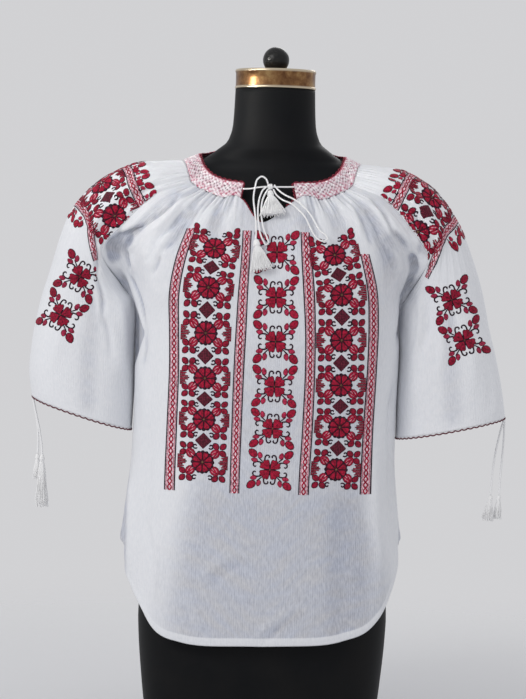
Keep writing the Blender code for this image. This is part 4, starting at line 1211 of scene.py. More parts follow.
turns = np.linspace(0, 2 * KNOT_TURNS * math.pi, 60)
knot_route = np.stack((
    KNOT_CENTRE[0] - KNOT_HALF[0] + 2 * KNOT_HALF[0] * turns / turns[-1],
    KNOT_CENTRE[1] + KNOT_HALF[1] * np.cos(turns),
    KNOT_CENTRE[2] + KNOT_HALF[2] * np.sin(turns),
), axis=1)
knot_item, _ = twisted_cord(knot_route, KNOT_CORD)
finish_piece(knot_item, "lace_knot", white_cord, "white_cord", "bow_knot")


def free_cord(name, route, diameter, far_end, replaced, carried):
    """Twisted cord declared as a free cord from the first point of its route."""
    item, path = twisted_cord(route, diameter)
    finish_piece(item, name, white_cord, "white_cord", *replaced)
    length = float(reach_along(path)[-1])
    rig.cord(item, exit=path[0], length=round(length, 3), diameter=diameter * MM, far_end=far_end,
            stiffness="limp", lay="hanging", path=path, with_pieces=carried)


free_cord("bow_lace", LACE_RUN, LACE, "object", ["lace_run_left", "lace_run_right"], [])
free_cord("bow_loop_left", LACE_LOOP_LEFT, LACE, "object", ["lace_loop_left"], [])
free_cord("bow_loop_right", LACE_LOOP_RIGHT, LACE, "object", ["lace_loop_right"], [])


# ---------------------------------------------------------------- tassels, bow tail and sleeve ties
# White cotton tassels: a bundle of yarn folded over the cord's end and wound below its head.  Two
# hang at the bow and two on thin cords from the outside of each cuff.
TIE = 2.8
TIES = {
    "left_short": ((-305.4, -5.6, 432.1), (-301.6, -6.6, 415), (-298.0, -7.4, 396), (-296.6, -7.5, 374),
                   (-297.0, -7.5, 357.6)),
    "left_long": ((-304.2, -12.4, 431.6), (-300.0, -13.4, 413), (-294.4, -14.2, 388), (-291.2, -14.6, 368),
                  (-290.6, -14.6, 357.6), (-290.4, -15.0, 341.0)),
    "right_short": ((307.6, -10.0, 418.8), (303.0, -9.4, 400), (297.4, -8.2, 370), (294.4, -7.6, 342),
                    (293.4, -7.6, 318.4)),
    "right_long": ((308.6, -3.0, 419.3), (308.8, -2.0, 398), (307.4, -2, 368), (305.6, -2, 340),
                   (304.8, -2, 318.4)),
}
# Top of the head, head radius and height, strand length, spread across and forwards, strands, hang.
TASSELS = {
    "upper": ((-3.6, -87.4, 705.2), 4.4, 9, 31, (17.0, 5.4), 90, (4.6, -25, -34)),
    "lower": ((-20.0, -121.8, 644.0), 4.6, 10, 33, (14.5, 4.6), 84, (9.0, -13.0, -42)),
    "left_short": ((-297.0, -7.5, 357.2), 3.0, 7, 27, (6.0, 4.4), 50, (0, 0, -1)),
    "left_long": ((-290.6, -14.6, 357.2), 3.4, 8, 62, (8.6, 6.0), 70, (1, -2, -70)),
    "right_short": ((293.4, -7.6, 318.0), 3.2, 7, 28, (7.6, 5.4), 60, (-4, -1, -34)),
    "right_long": ((304.8, -2.0, 318.0), 3.0, 7, 26, (6.0, 4.6), 50, (-2, 0, -32)),
}
YARN = 0.95           # thickness of one strand
WRAP = 0.9            # thickness of the winding below the head
HEAD_LOOPS = 18       # strands folded over each head
GOLDEN = math.pi * (3 - math.sqrt(5))


def yarn(routes, thickness):
    """All strands of one tassel as round threads along their routes."""
    data = bpy.data.curves.new("yarn", "CURVE")
    data.dimensions = "3D"
    data.bevel_depth = thickness / 2 * MM
    data.bevel_resolution = 0
    data.use_fill_caps = True
    for route in routes:
        spline = data.splines.new("POLY")
        spline.points.add(len(route) - 1)
        for point, at in zip(spline.points, route):
            point.co = (*(at * MM), 1)
    only(add_object("yarn", data))
    bpy.ops.object.convert(target="MESH")
    return bpy.context.object


def tassel(name, top, radius, height, length, spread, strands, hang):
    """Head of folded yarn, its winding and its skirt of strands, hanging along `hang`."""
    neck = radius * 0.62
    fall = np.linspace(0, 1, 11)
    routes = []
    for count in range(strands):
        at = 0.45 + 0.55 * np.sqrt((count + 0.5) / strands)
        turn = count * GOLDEN
        reach = length * (0.93 + 0.07 * math.sin(7.1 * count))
        wave = 0.35 * np.sin(9 * fall + count) * fall
        open_x, open_y = (at * (neck + (wide - neck) * fall ** 0.8) for wide in spread)
        x = open_x * math.cos(turn) + wave
        y = open_y * math.sin(turn) + 0.7 * wave
        z = -height + 1.0 - reach * fall
        routes.append(np.stack((x, y, z), axis=1))
    over = np.linspace(0, math.pi, 12)
    for count in range(HEAD_LOOPS):
        turn = math.pi * count / HEAD_LOOPS
        bulge = radius * (0.86 + 0.06 * math.sin(5 * count))
        x = bulge * np.cos(over) * math.cos(turn)
        y = bulge * np.cos(over) * math.sin(turn)
        z = -height + 1.2 + (height - 1.2 - YARN / 2) * np.sin(over) ** 0.8
        routes.append(np.stack((x, y, z), axis=1))
    skirt = yarn(routes, YARN)
    turns = np.linspace(0, 8 * math.pi, 60)
    ring = radius * 0.72
    drop = -height + 1.8 - 2.6 * turns / turns[-1]
    winding = yarn([np.stack((ring * np.cos(turns), ring * np.sin(turns), drop), axis=1)], WRAP)
    bpy.ops.mesh.primitive_uv_sphere_add(segments=16, ring_count=10, radius=MM)
    core = bpy.context.object
    core.scale = (radius * 0.84, radius * 0.84, height / 2 - 0.3)
    core.location.z = -height / 2 * MM
    bpy.ops.object.transform_apply(location=True, rotation=False, scale=True)
    bpy.ops.mesh.primitive_cone_add(vertices=20, radius1=0.80 * spread[0] * MM, radius2=0.5 * radius * MM,
                                    depth=0.9 * length * MM)
    middle_yarn = bpy.context.object
    middle_yarn.scale.y = spread[1] / spread[0]
    middle_yarn.location.z = (1.5 - height - 0.45 * length) * MM
    bpy.ops.object.transform_apply(location=True, rotation=False, scale=True)
    bpy.ops.object.select_all(action="DESELECT")
    for part in (winding, core, middle_yarn, skirt):
        part.select_set(True)
    bpy.context.view_layer.objects.active = skirt
    bpy.ops.object.join()
    turn = Vector((0, 0, -1)).rotation_difference(Vector(hang)).to_matrix().to_4x4()
    skirt.data.transform(Matrix.Translation(Vector(top) * MM) @ turn)
    bpy.ops.object.shade_smooth()
    finish_piece(skirt, "yarn_tassel_" + name, white_cord, "white_cord", "tassel_" + name)
    return skirt


tassel("upper", *TASSELS["upper"])
tail_tassel = tassel("lower", *TASSELS["lower"])
free_cord("bow_tail", LACE_TAIL, LACE, "knot", ["lace_tail"], [tail_tassel])
for label, route in TIES.items():
    hanging = tassel(label, *TASSELS[label])
    free_cord("cuff_cord_" + label, route, TIE, "knot", ["tie_" + label], [hanging])


# ---------------------------------------------------------------- crochet edges
# Fine dark red cotton crocheted in small arches, worked straight onto the cloth's edge: along the
# band's top and ends and down the slit, and in maroon round both sleeve hems.
def crochet_red(name, dark, light):
    red = new_material(name, dark, 0.75)
    grained(red, 900.0, 3.0, dark, light, 0.4, 0.0003)
    return red


def arched(route, away, period, height):
    """A route with a row of small arches towards `away`."""
    reach = reach_along(route)
    steps = np.linspace(0, reach[-1], max(8, int(reach[-1] / 0.8)))
    line, aim = (np.stack([np.interp(steps, reach, values) for values in points.T], axis=1)
                 for points in (route, away))
    arches = np.abs(np.sin(math.pi * steps / reach[-1] * max(1, round(reach[-1] / period))))
    return line + unit(aim) * (0.25 + height * arches)[:, None]


def cloth_edge(panel, row, columns):
    """Middle of the cloth along a row of a panel's grid."""
    return panel["points"][row, columns] - panel["normals"][row, columns] * CLOTH / 2


share = np.linspace(0, 1, 300)
rise = np.linspace(0, 1, 12)
top_line = band_points(share, 0 * share + 1)
top_away = top_line - band_points(share, 0 * share + 0.9)
end_left = band_points(0 * rise, rise)
end_right = band_points(0 * rise + 1, 1 - rise)
left_away = end_left - band_points(0 * rise + 0.01, rise)
right_away = end_right - band_points(0 * rise + 0.99, 1 - rise)
slit_left = cloth_edge(front, 0, np.where((front_u > -SLIT_SHARE) & (front_u < -0.012))[0])[::-1]
slit_right = cloth_edge(front, 0, np.where((front_u > 0.11) & (front_u < SLIT_SHARE))[0])[::-1]
collar_route = np.concatenate((
    arched(slit_left, np.zeros_like(slit_left) + (0.7, -0.2, 0.7), 4.2, 0.9),
    arched(end_left, left_away, 4.4, 0.9),
    arched(top_line, top_away, 8.0, 1.9),
    arched(end_right, right_away, 4.6, 2.2),
    arched(slit_right, np.zeros_like(slit_right) + (-0.5, -0.2, 0.8), 4.2, 1.4)))
collar_edge, _ = twisted_cord(collar_route, 1.8)
collar_red = crochet_red("collar_red", (0.13, 0.004, 0.014), (0.26, 0.010, 0.034))
finish_piece(collar_edge, "crochet_collar", collar_red, "cotton")
cuff_red = crochet_red("cuff_red", (0.060, 0.006, 0.014), (0.15, 0.012, 0.030))
for side, label in SIDES:
    hem_line = cloth_edge(sleeves[side], -1, np.arange(SLEEVE_COLUMNS + 1))
    hem_away = sleeves[side]["points"][-1] - sleeves[side]["points"][-3]
    cuff_edge, _ = twisted_cord(arched(hem_line, hem_away, 8.2, 1.5), 1.9)
    finish_piece(cuff_edge, "crochet_cuff_" + label, cuff_red, "cotton")


# ---------------------------------------------------------------- front embroidery
# Counted and satin stitch in twisted cotton over the front: two wide columns of eight-petal
# flowers and diamonds, four braided stripes beside them and a garland down the middle.  Each
# stitched shape is modelled once, padded in its middle, then copied and laid on the cloth.
CRIMSON = (0.44, 0.006, 0.040)
RED = (0.27, 0.005, 0.031)
WINE = (0.32, 0.005, 0.031)
MAROON = (0.080, 0.005, 0.021)
NIGHT = (0.030, 0.006, 0.020)
ROSE = (0.55, 0.030, 0.090)
BLUSH = (0.80, 0.36, 0.44)
PALE = (0.96, 0.72, 0.80)
OLIVE = (0.20, 0.11, 0.045)
FLOWERS = 6           # in each column and in the garland
PERIOD = 54.5         # from one flower to the next
# x and z of the flowers of each column and of the garland, from the top, one more at either end.
COLUMN_LEFT = ((-66, 680), (-71.1, 631.1), (-77.3, 582.5), (-79.4, 525.0), (-79.2, 468.1), (-79.3, 415.7),
               (-80.0, 361.7), (-80.6, 308))
COLUMN_RIGHT = ((68, 676), (78.9, 626.4), (88.8, 577.3), (90.4, 520.0), (91.4, 463.0), (91.1, 409.9),
                (88.2, 356.1), (85.6, 302))
GARLAND = ((6, 684), (7, 628), (7, 572), (8, 517), (8, 460), (7, 407), (5, 355), (3, 303))
# Stripes: z, then x of the left and right edge.
STRIPES = (
    ((655, -107, -95), (620, -119, -106), (572, -127, -114), (530, -126, -113.5), (486, -125, -112.5),
     (410, -126.5, -113.5), (335, -128, -114.5), (324, -128, -114.5)),
    ((654, -36.5, -25.5), (620, -37.5, -26.5), (579, -40, -28), (530, -42, -29), (489, -43.3, -30.3),
     (410, -44.4, -31.9), (329, -45, -33), (324, -45, -33)),
    ((654, 36, 47), (620, 38, 51), (581, 41, 55), (530, 44.6, 57.6), (491, 45.7, 58.2), (410, 44.3, 57.3),
     (329, 41.5, 54.5), (324, 41.5, 54.5)),
    ((628, 111, 122), (583, 121.5, 134), (538, 124.5, 137.5), (492, 124.5, 137), (410, 121.5, 134.5),
     (333, 119.6, 132.6), (324, 119.6, 132.6)),
)
STRIPE_WIDTH = 12.4   # width of a braided stripe as it is drawn
BRAID_SWING = 2.1     # how far its strands swing from its middle
BRAID_CROSSING = 7.6  # from one crossing of the strands to the next
SUNK = 0.30           # how deep a shape's edge goes into the cloth
EDGE_LIFT = 0.06      # a shape's foot over the cloth
# Sections of a stitched line: place across it, then height; below 0 is in the cloth.
ROUND_PROFILE = ((-1, -1), (-0.8, 0.6), (0, 1), (0.8, 0.6), (1, -1))
FLAT_PROFILE = ((-1, -1), (-0.96, 1), (-0.5, 1), (0, 1), (0.5, 1), (0.96, 1), (1, -1))


def read_shape(item, colours):
    """Points, outward triangles, colours and flat points of a shape, whose object is then removed."""
    mesh = item.data
    mesh.calc_loop_triangles()
    points = np.array([vert.co[:] for vert in mesh.vertices])
    tris = np.array([tri.vertices[:] for tri in mesh.loop_triangles])
    kinds = np.array([mesh.polygons[tri.polygon_index].material_index for tri in mesh.loop_triangles])
    a, b, c = (points[tris[:, i]] for i in range(3))
    turned_over = np.cross(b - a, c - a)[:, 2] < 0
    tris[turned_over] = tris[turned_over][:, ::-1]
    bpy.data.objects.remove(item)
    return points, tris, np.array(colours, float)[kinds], points[:, :2].copy()


def patch(outline, rim, height, rim_colour, fill_colour):
    """Padded satin patch: its outline, a rim for the outline thread and a raised middle."""
    bpy.ops.mesh.primitive_circle_add(vertices=len(outline), radius=1, fill_type="NGON")
    item = bpy.context.object
    for vert, (x, y) in zip(item.data.vertices, outline):
        vert.co = (x, y, -SUNK)
    bpy.ops.object.mode_set(mode="EDIT")
    bpy.ops.mesh.select_all(action="SELECT")
    bpy.ops.mesh.inset(thickness=0.14, depth=0)
    bpy.ops.transform.translate(value=(0, 0, SUNK + 0.22))
    bpy.ops.mesh.inset(thickness=rim, depth=0)
    bpy.ops.object.mode_set(mode="OBJECT")
    for face in item.data.polygons:
        face.material_index = 1 if face.select else 0
    bpy.ops.object.mode_set(mode="EDIT")
    bpy.ops.transform.translate(value=(0, 0, height * 0.6))
    bpy.ops.mesh.inset(thickness=rim * 1.2, depth=0)
    bpy.ops.transform.translate(value=(0, 0, height * 0.4))
    bpy.ops.mesh.poke()
    bpy.ops.object.mode_set(mode="OBJECT")
    return read_shape(item, (rim_colour, fill_colour))


def stitched_line(route, width, height, colour, tapered=True, profile=ROUND_PROFILE):
    """Raised line of stitches along a route: a strip whose edges go into the cloth."""
    route = np.array(route, float)
    reach = reach_along(route)
    count = max(4, len(route) * 2)
    if len(route) > 2:
        line = smooth(reach, route, np.linspace(0, reach[-1], count + 1))
    else:
        line = route[0] + (route[1] - route[0]) * np.linspace(0, 1, count + 1)[:, None]
    ahead = unit(np.gradient(line, axis=0))
    aside = np.stack((-ahead[:, 1], ahead[:, 0]), axis=1)
    ends = np.minimum(np.arange(count + 1), np.arange(count + 1)[::-1]) / 1.6
    half = width / 2 * (np.clip(0.45 + 0.55 * ends, 0, 1) if tapered else np.ones(count + 1))
    across = np.array([place for place, _ in profile])
    raised = np.array([-SUNK if share < 0 else height * share for _, share in profile])
    raised = raised + np.zeros((count + 1, 1))
    if tapered:
        raised[[0, -1]] = -SUNK
    flat_points = line[:, None] + aside[:, None] * (half[:, None] * across)[..., None]
    item = mesh_grid(np.concatenate((flat_points, raised[..., None]), axis=2), 1)
    item.data.update()
    return read_shape(item, (colour,))


def hatched(width, height, cells, dark, light, raised):
    """Block of counted stitches: a square grid turned on its corner, its cells in two colours."""
    bpy.ops.mesh.primitive_grid_add(x_subdivisions=cells, y_subdivisions=cells, size=2)
    item = bpy.context.object
    for vert in item.data.vertices:
        x, y = vert.co.x, vert.co.y
        inner = max(abs(x), abs(y)) < 0.99
        vert.co = ((x - y) * width / 2, (x + y) * height / 2, raised if inner else -SUNK)
    for face in item.data.polygons:
        column = face.index % cells
        row = face.index // cells
        border = column in (0, cells - 1) or row in (0, cells - 1)
        face.material_index = 0 if border or (column % 2 == 0) != (row % 2 == 0) else 1
    return read_shape(item, (dark, light))


def set_down(shape, x, y, turn=0, mirror=False, scale=1.0):
    """Copy of a shape, mirrored left to right if asked, turned by degrees, scaled and moved."""
    points, tris, colours, threads = shape
    moved = points.copy()
    if mirror:
        moved[:, 0] *= -1
        tris = tris[:, ::-1]
    angle = math.radians(turn)
    cosine, sine = math.cos(angle), math.sin(angle)
    moved[:, 0], moved[:, 1] = (x + scale * (moved[:, 0] * cosine - moved[:, 1] * sine),
                                y + scale * (moved[:, 0] * sine + moved[:, 1] * cosine))
    return moved, tris, colours, threads


def together(shapes):
    """All shapes as one."""
    starts = np.cumsum([0] + [len(shape[0]) for shape in shapes])
    tris = [shape[1] + start for shape, start in zip(shapes, starts)]
    points, _, colours, threads = ([shape[part] for shape in shapes] for part in range(4))
    return tuple(np.concatenate(parts) for parts in (points, tris, colours, threads))


def flipped(shape):
    return set_down(shape, 0, 0, mirror=True)


def both_ways(right_half):
    """Outline of a shape from the right half of it, listed from its foot to its tip."""
    return list(right_half) + [(-x, y) for x, y in reversed(right_half) if x > 0]


def round_outline(corners, radius):
    angles = np.linspace(0, 2 * math.pi, corners + 1)[:-1]
    return [(radius * math.cos(angle), radius * math.sin(angle)) for angle in angles]


def four_corners(shape):
    """A shape in the upper right corner and its copies in the other three."""
    return [shape, flipped(shape), set_down(shape, 0, 0, 180, True), set_down(shape, 0, 0, 180)]


heart = patch(both_ways(((0.4, 1.8), (1.3, 4.2), (2.4, 6.4), (3.2, 8.4), (3.2, 10.1), (2.2, 11.5),
                         (0.9, 11.8), (0, 11.1))), 0.36, 0.60, MAROON, CRIMSON)
heart = (heart[0] + (0, 0, 0.22), *heart[1:])
scalloped = []
for angle in np.linspace(0, 2 * math.pi, 97)[:-1]:
    reach = 12.2 + 1.2 * abs(math.cos(8 * angle))
    scalloped.append((reach * math.sin(-angle), reach * math.cos(angle)))
under_disc = patch(scalloped, 1.6, 0.10, NIGHT, MAROON)
eye = patch(round_outline(12, 2.3), 0.9, 0.5, MAROON, OLIVE)
seed = patch(round_outline(8, 1.3), 0.3, 0.45, NIGHT, NIGHT)
oval = patch(both_ways(((0.6, 0.0), (2.4, 1.4), (3.3, 3.6), (3.0, 5.6), (1.7, 7.4), (0, 8.2))),
             0.62, 0.55, NIGHT, WINE)
oval = together([oval, stitched_line(((0, 2.0), (0, 4.0), (0, 6.0)), 1.1, 0.75, CRIMSON)])
curl = stitched_line(((0, 0), (1.4, 1.9), (3.4, 2.4), (4.8, 1.1), (4.4, -0.9), (2.8, -1.5), (1.9, -0.2)),
                     1.75, 0.45, NIGHT)
bud_ground = patch(both_ways(((1.4, -0.4), (3.6, 1.6), (4.7, 4.6), (4.3, 7.6), (2.4, 9.6), (0, 9.0))),
                   0.7, 0.4, RED, CRIMSON)
bud_stripe = stitched_line(((0, 5.4), (0, 7.2), (0, 9.2)), 1.5, 0.85, BLUSH)
bud_side = stitched_line(((0.8, 1.8), (1.9, 4.4), (1.9, 8.4)), 1.15, 0.80, BLUSH)
bud = together([bud_ground, bud_stripe, bud_side, flipped(bud_side)])
block = hatched(11.6, 11.2, 11, MAROON, (0.17, 0.016, 0.035), 0.45)
comb_curl = stitched_line(((0, 0), (-2.2, 0.8), (-3.9, -0.6), (-3.0, -2.3), (-1.3, -1.8)), 1.5, 0.45, NIGHT)

flower = [set_down(heart, 0, 0, 22.5 + 45 * k) for k in range(8)]
flower = set_down(together(flower + [eye, under_disc]), 0, 0, scale=1.13)
# A comb is a column of stitched rows of unequal length that share their outer edge.
COMB_EDGE = 32.0
comb = []
for k, length in zip(range(-4, 5), (5.5, 9.0, 7.5, 11.0, 12.5, 11.0, 7.5, 9.0, 5.5)):
    low, high, tip = 2.0 * k - 1.0, 2.0 * k + 1.0, COMB_EDGE - length
    outline = ((COMB_EDGE, low), (COMB_EDGE, high), (tip + 1.0, high), (tip, 2.0 * k), (tip + 1.0, low))
    comb.append(patch(outline, 0.28, 0.35, NIGHT, (WINE, CRIMSON)[k % 2]))
side_comb = together(comb + [set_down(comb_curl, 20.6, 9.4, scale=1.2),
                             set_down(comb_curl, 20.6, -9.4, 180, True, 1.2)])
flower_row = together([flower, side_comb, flipped(side_comb)])
rosette = together([set_down(oval, 0.7, 0.7, -45), set_down(oval, 0.7, -0.7, -135),
                    set_down(oval, -0.7, -0.7, 135), set_down(bud, -0.5, 0.5, 45),
                    set_down(seed, -2.0, 2.2)])
upper_right = together([set_down(rosette, 20.8, 11.0, scale=1.28), set_down(curl, 6.8, 9.0, -30, scale=1.2)])
block_row = together([block] + four_corners(upper_right))
crown = together([set_down(upper_right, 0, 0, 180, True), set_down(upper_right, 0, 0, 180),
                  set_down(oval, 23.0, -4.2, -28, scale=1.2), set_down(oval, -23.0, -4.2, 28, scale=1.2)])
foot = together([upper_right, flipped(upper_right)])

lobes = patch(((0.1, 0.1), (4.8, 0.3), (8.8, 0.5), (12.2, 1.3), (13.6, 3.4), (12.4, 5.5), (13.2, 7.6),
               (11.6, 9.0), (9.3, 9.3), (9.0, 11.6), (7.6, 13.2), (5.5, 12.4), (3.4, 13.6), (1.3, 12.2),
               (0.5, 8.8), (0.3, 4.8)), 0.60, 0.60, NIGHT, CRIMSON)
crack = stitched_line(((1.6, 1.6), (5.0, 5.0), (8.8, 8.8)), 0.9, 1.0, MAROON)
lobes = together([lobes, crack])
tall_hook = stitched_line(((7.6, 9.6), (7.2, 12.8), (7.0, 15.8), (5.6, 18.6), (3.1, 18.9), (1.5, 17.0),
                           (2.9, 15.0)), 2.1, 0.5, NIGHT)
wide_hook = stitched_line(((9.6, 8.2), (13.4, 9.4), (17.4, 9.6), (20.8, 7.8), (21.2, 4.8), (19.0, 3.1),
                           (17.0, 4.8)), 2.1, 0.5, NIGHT)
stem = stitched_line(((8.6, 9.0), (12.0, 12.4), (16.6, 16.2)), 1.7, 0.45, NIGHT)
sepal = patch(both_ways(((0.9, 0.0), (2.9, 2.0), (3.2, 5.2), (1.8, 8.0), (0, 9.2))), 0.7, 0.45, RED, ROSE)
leaf = patch(both_ways(((1.2, 0.0), (3.8, 2.0), (5.2, 5.2), (4.8, 9.2), (2.8, 12.6), (0, 14.0))),
             0.80, 0.6, NIGHT, CRIMSON)
leaf = together([leaf, stitched_line(((0, 1.0), (0, 5.0), (0, 9.4)), 0.8, 0.95, MAROON)])
corner = together([lobes, tall_hook, wide_hook, stem, set_down(sepal, 12.4, 14.2, -14),
                   set_down(sepal, 15.8, 10.8, -78), set_down(leaf, 17.8, 16.0, -45)])
upright = stitched_line(((0, -10.2), (0, 10.2)), 1.3, 0.42, MAROON)
garland_flower = together(four_corners(corner) + [hatched(3.2, 3.2, 4, MAROON, OLIVE, 1.1), upright,
                                                  set_down(upright, 0, 0, 90)])


def way_along(centres, x, y, index):
    """Front-view x and z of pattern points placed `index` flowers down a line of centres."""
    keys = np.arange(-1, len(centres) - 1, dtype=float)
    at = index - y / PERIOD
    middle_line = smooth(keys, centres, at)
    ahead = unit(smooth(keys, centres, at - 0.02) - smooth(keys, centres, at + 0.02))
    return middle_line[:, 0] + x * ahead[:, 1], middle_line[:, 1] - x * ahead[:, 0]


def strung(centres, rows):
    """Shapes, each with its index down a line of centres, as front-view x and z and one shape."""
    seen = [way_along(centres, shape[0][:, 0], shape[0][:, 1], index) for shape, index in rows]
    x, z = (np.concatenate(part) for part in zip(*seen))
    return x, z, together([shape for shape, _ in rows])


def read_grid(panel, layer, u, v):
    """Reads one layer of a panel's grid between its points."""
    values = panel[layer]
    column = np.interp(u, panel["u"], np.arange(len(panel["u"])))
    row = np.interp(v, panel["v"], np.arange(len(panel["v"])))
    i = np.clip(row.astype(int), 0, len(panel["v"]) - 2)
    j = np.clip(column.astype(int), 0, len(panel["u"]) - 2)
    a = (row - i)[:, None]
    b = (column - j)[:, None]
    return ((values[i, j] * (1 - b) + values[i, j + 1] * b) * (1 - a)
            + (values[i + 1, j] * (1 - b) + values[i + 1, j + 1] * b) * a)


def grid_slopes(panel, u, v, step):
    """How a panel's bare surface moves with u and with v."""
    by_u = read_grid(panel, "bare", u + step, v) - read_grid(panel, "bare", u - step, v)
    by_v = read_grid(panel, "bare", u, v + step) - read_grid(panel, "bare", u, v - step)
    return by_u / (2 * step), by_v / (2 * step)


def seen_at(panel, x, z, u, v, low_u, high_u):
    """The u and v at which a panel's bare surface is seen at x and z, from a first guess."""
    for _ in range(12):
        by_u, by_v = (slope[:, (0, 2)] for slope in grid_slopes(panel, u, v, 0.003))
        away = np.stack((x, z), axis=1) - read_grid(panel, "bare", u, v)[:, (0, 2)]
        size = by_u[:, 0] * by_v[:, 1] - by_u[:, 1] * by_v[:, 0]
        size = np.where(np.abs(size) < 1, np.sign(size) + (size == 0), size)
        du = (away[:, 0] * by_v[:, 1] - away[:, 1] * by_v[:, 0]) / size
        dv = (by_u[:, 0] * away[:, 1] - by_u[:, 1] * away[:, 0]) / size
        u = np.clip(u + np.clip(du, -0.1, 0.1), low_u, high_u)
        v = np.clip(v + np.clip(dv, -0.1, 0.1), 0.01, 1.99)
    return u, v


def stitched_piece(name, panel, u, v, shape):
    """One mesh of shapes laid on a panel at u and v; it takes their thread colours."""
    points, tris, colours, threads = shape
    normal = unit(read_grid(panel, "normals", u, v))
    placed = (read_grid(panel, "points", u, v) + normal * (points[:, 2] + EDGE_LIFT)[:, None]) * MM
    a, b, c = (placed[tris[:, i]] for i in range(3))
    facing = np.sum(np.cross(b - a, c - a) * normal[tris[:, 0]], axis=1)
    tris = np.where((facing < 0)[:, None], tris[:, ::-1], tris)
    kept = np.linalg.norm(np.cross(b - a, c - a), axis=1) > 1e-12
    tris = tris[kept]
    mesh = bpy.data.meshes.new(name)
    mesh.from_pydata(placed.tolist(), [], tris.tolist())
    item = add_object(name, mesh)
    corner_colours = np.repeat(colours[kept], 3, axis=0)
    corner_colours = np.concatenate((corner_colours, np.ones((len(corner_colours), 1))), axis=1)
    layer = mesh.attributes.new("thread_colour", "FLOAT_COLOR", "CORNER")
    layer.data.foreach_set("color", corner_colours.astype(np.float32).ravel())
    cut = mesh.uv_layers.new(name="threads")
    cut.data.foreach_set("uv", (threads[tris.ravel()] * MM).astype(np.float32).ravel())
    only(item)
    bpy.ops.object.mode_set(mode="EDIT")
    bpy.ops.mesh.select_all(action="SELECT")
    bpy.ops.mesh.delete_loose()
    bpy.ops.object.mode_set(mode="OBJECT")
    bpy.ops.object.shade_smooth()
    finish_piece(item, name, stitch_cotton, "cotton")


stitch_cotton = new_material("stitch_cotton", (0.3, 0.01, 0.02), 0.6, specular=0.22)
stitch_threads = texture(stitch_cotton, "ShaderNodeTexWave", True, Scale=420.0, Distortion=1.5, Detail=1.0,
                         bands_direction="Y")
stitch_wear = texture(stitch_cotton, Scale=420.0, Detail=4.0)
stitch_shade = add_node(stitch_cotton.node_tree, "ShaderNodeHueSaturation", Hue=0.5, Saturation=1.0)
wire(painted(stitch_cotton, "thread_colour", "Color"), stitch_shade, "Color")
wire(ranged(stitch_wear, From_Min=0.36, From_Max=0.66, To_Min=0.45, To_Max=1.25), stitch_shade, "Value")
feed(stitch_cotton, "Base Color", stitch_shade.outputs["Color"])
add_bump(stitch_cotton, stitch_threads, 0.5, 0.0004)
add_bump(stitch_cotton, stitch_wear, 0.3, 0.0003)


def on_front(name, x, z, shape):
    """Shapes laid on the front where they are seen; the first guess takes it for a flat cloth."""
    first_v = np.interp(z, (131, UNDERARM, 700), (1.99, 1.0, 0.02))
    u, v = seen_at(front, x, z, x / 185, first_v, -0.99, 0.99)
    stitched_piece(name, front, u, v, shape)


for name, centres in (("stitched_column_left", COLUMN_LEFT), ("stitched_column_right", COLUMN_RIGHT)):
    rows = [(crown, -0.5)] + [(flower_row, index) for index in range(FLOWERS)]
    rows += [(block_row, index + 0.5) for index in range(FLOWERS - 1)] + [(foot, FLOWERS - 0.5)]
    on_front(name, *strung(centres, rows))
on_front("stitched_garland", *strung(GARLAND, [(garland_flower, index) for index in range(FLOWERS)]))


def braided_stripe(length):
    """A stripe `length` long, from its foot up: pale ground, two dark lines and a two-strand braid."""
    count = int(length / 3)
    steps = [length * k / count for k in range(count + 1)]
    ground = stitched_line([(0, y) for y in steps], 12.0, 0.16, PALE, False, FLAT_PROFILE)
    lines = [stitched_line([(x, y) for y in steps], width, height, colour, False)
             for width, height, colour, place in ((1.7, 0.5, NIGHT, 5.7), (0.8, 0.36, ROSE, 4.0))
             for x in (-place, place)]
    climb = np.linspace(0, length, int(length / 1.4))
    swing = BRAID_SWING * np.sin(math.pi * climb / BRAID_CROSSING)
    strands = [stitched_line(np.stack((way * swing, climb), axis=1), 1.95, 0.6, CRIMSON, False)
               for way in (-1, 1)]
    return together([ground] + lines + strands)


stripe_shapes, stripe_x, stripe_z = [], [], []
for edges in STRIPES:
    heights, left_edges, right_edges = np.array(edges[::-1], float).T
    shape = braided_stripe(heights[-1] - heights[0])
    height = heights[0] + shape[0][:, 1]
    left_edge = smooth(heights, left_edges, height)
    right_edge = smooth(heights, right_edges, height)
    middle = (left_edge + right_edge) / 2
    stripe_x.append(middle + shape[0][:, 0] / STRIPE_WIDTH * (right_edge - left_edge))
    stripe_z.append(height)
    stripe_shapes.append(shape)
on_front("stitched_stripes", np.concatenate(stripe_x), np.concatenate(stripe_z), together(stripe_shapes))


# ---------------------------------------------------------------- sleeve embroidery
# The same flowers and diamonds run across the top of each sleeve from seam to seam between two
# braided stripes, with arches of leaves outside them and two garland flowers further down.
SLEEVE_PERIOD = 57.0
ARCH = 28.5           # from one arch to the next
ARCH_ACROSS = 1.2     # stretch of an arch across the sleeve
ARCH_FOOT = 6.8       # from the stripe's middle to an arch's foot
BAND_MIDDLE = 0.557   # v of the band's middle
BAND_ACROSS = 1.12    # stretch of the band across the sleeve
SLEEVE_OVERHANG = 30  # how far past a seam a flower may still begin
ARCH_OVERHANG = 8     # the same for an arch
SEAM_MARGIN = 0.004   # u that the stitches keep from the seams
STRIPE_MARGIN = 0.003
LOWER_GUESS = (0.28, 1.1)
# Painted shade on the two lower flowers of each sleeve.
LOWER_SHADE = (0.74, 0.75, 0.80)
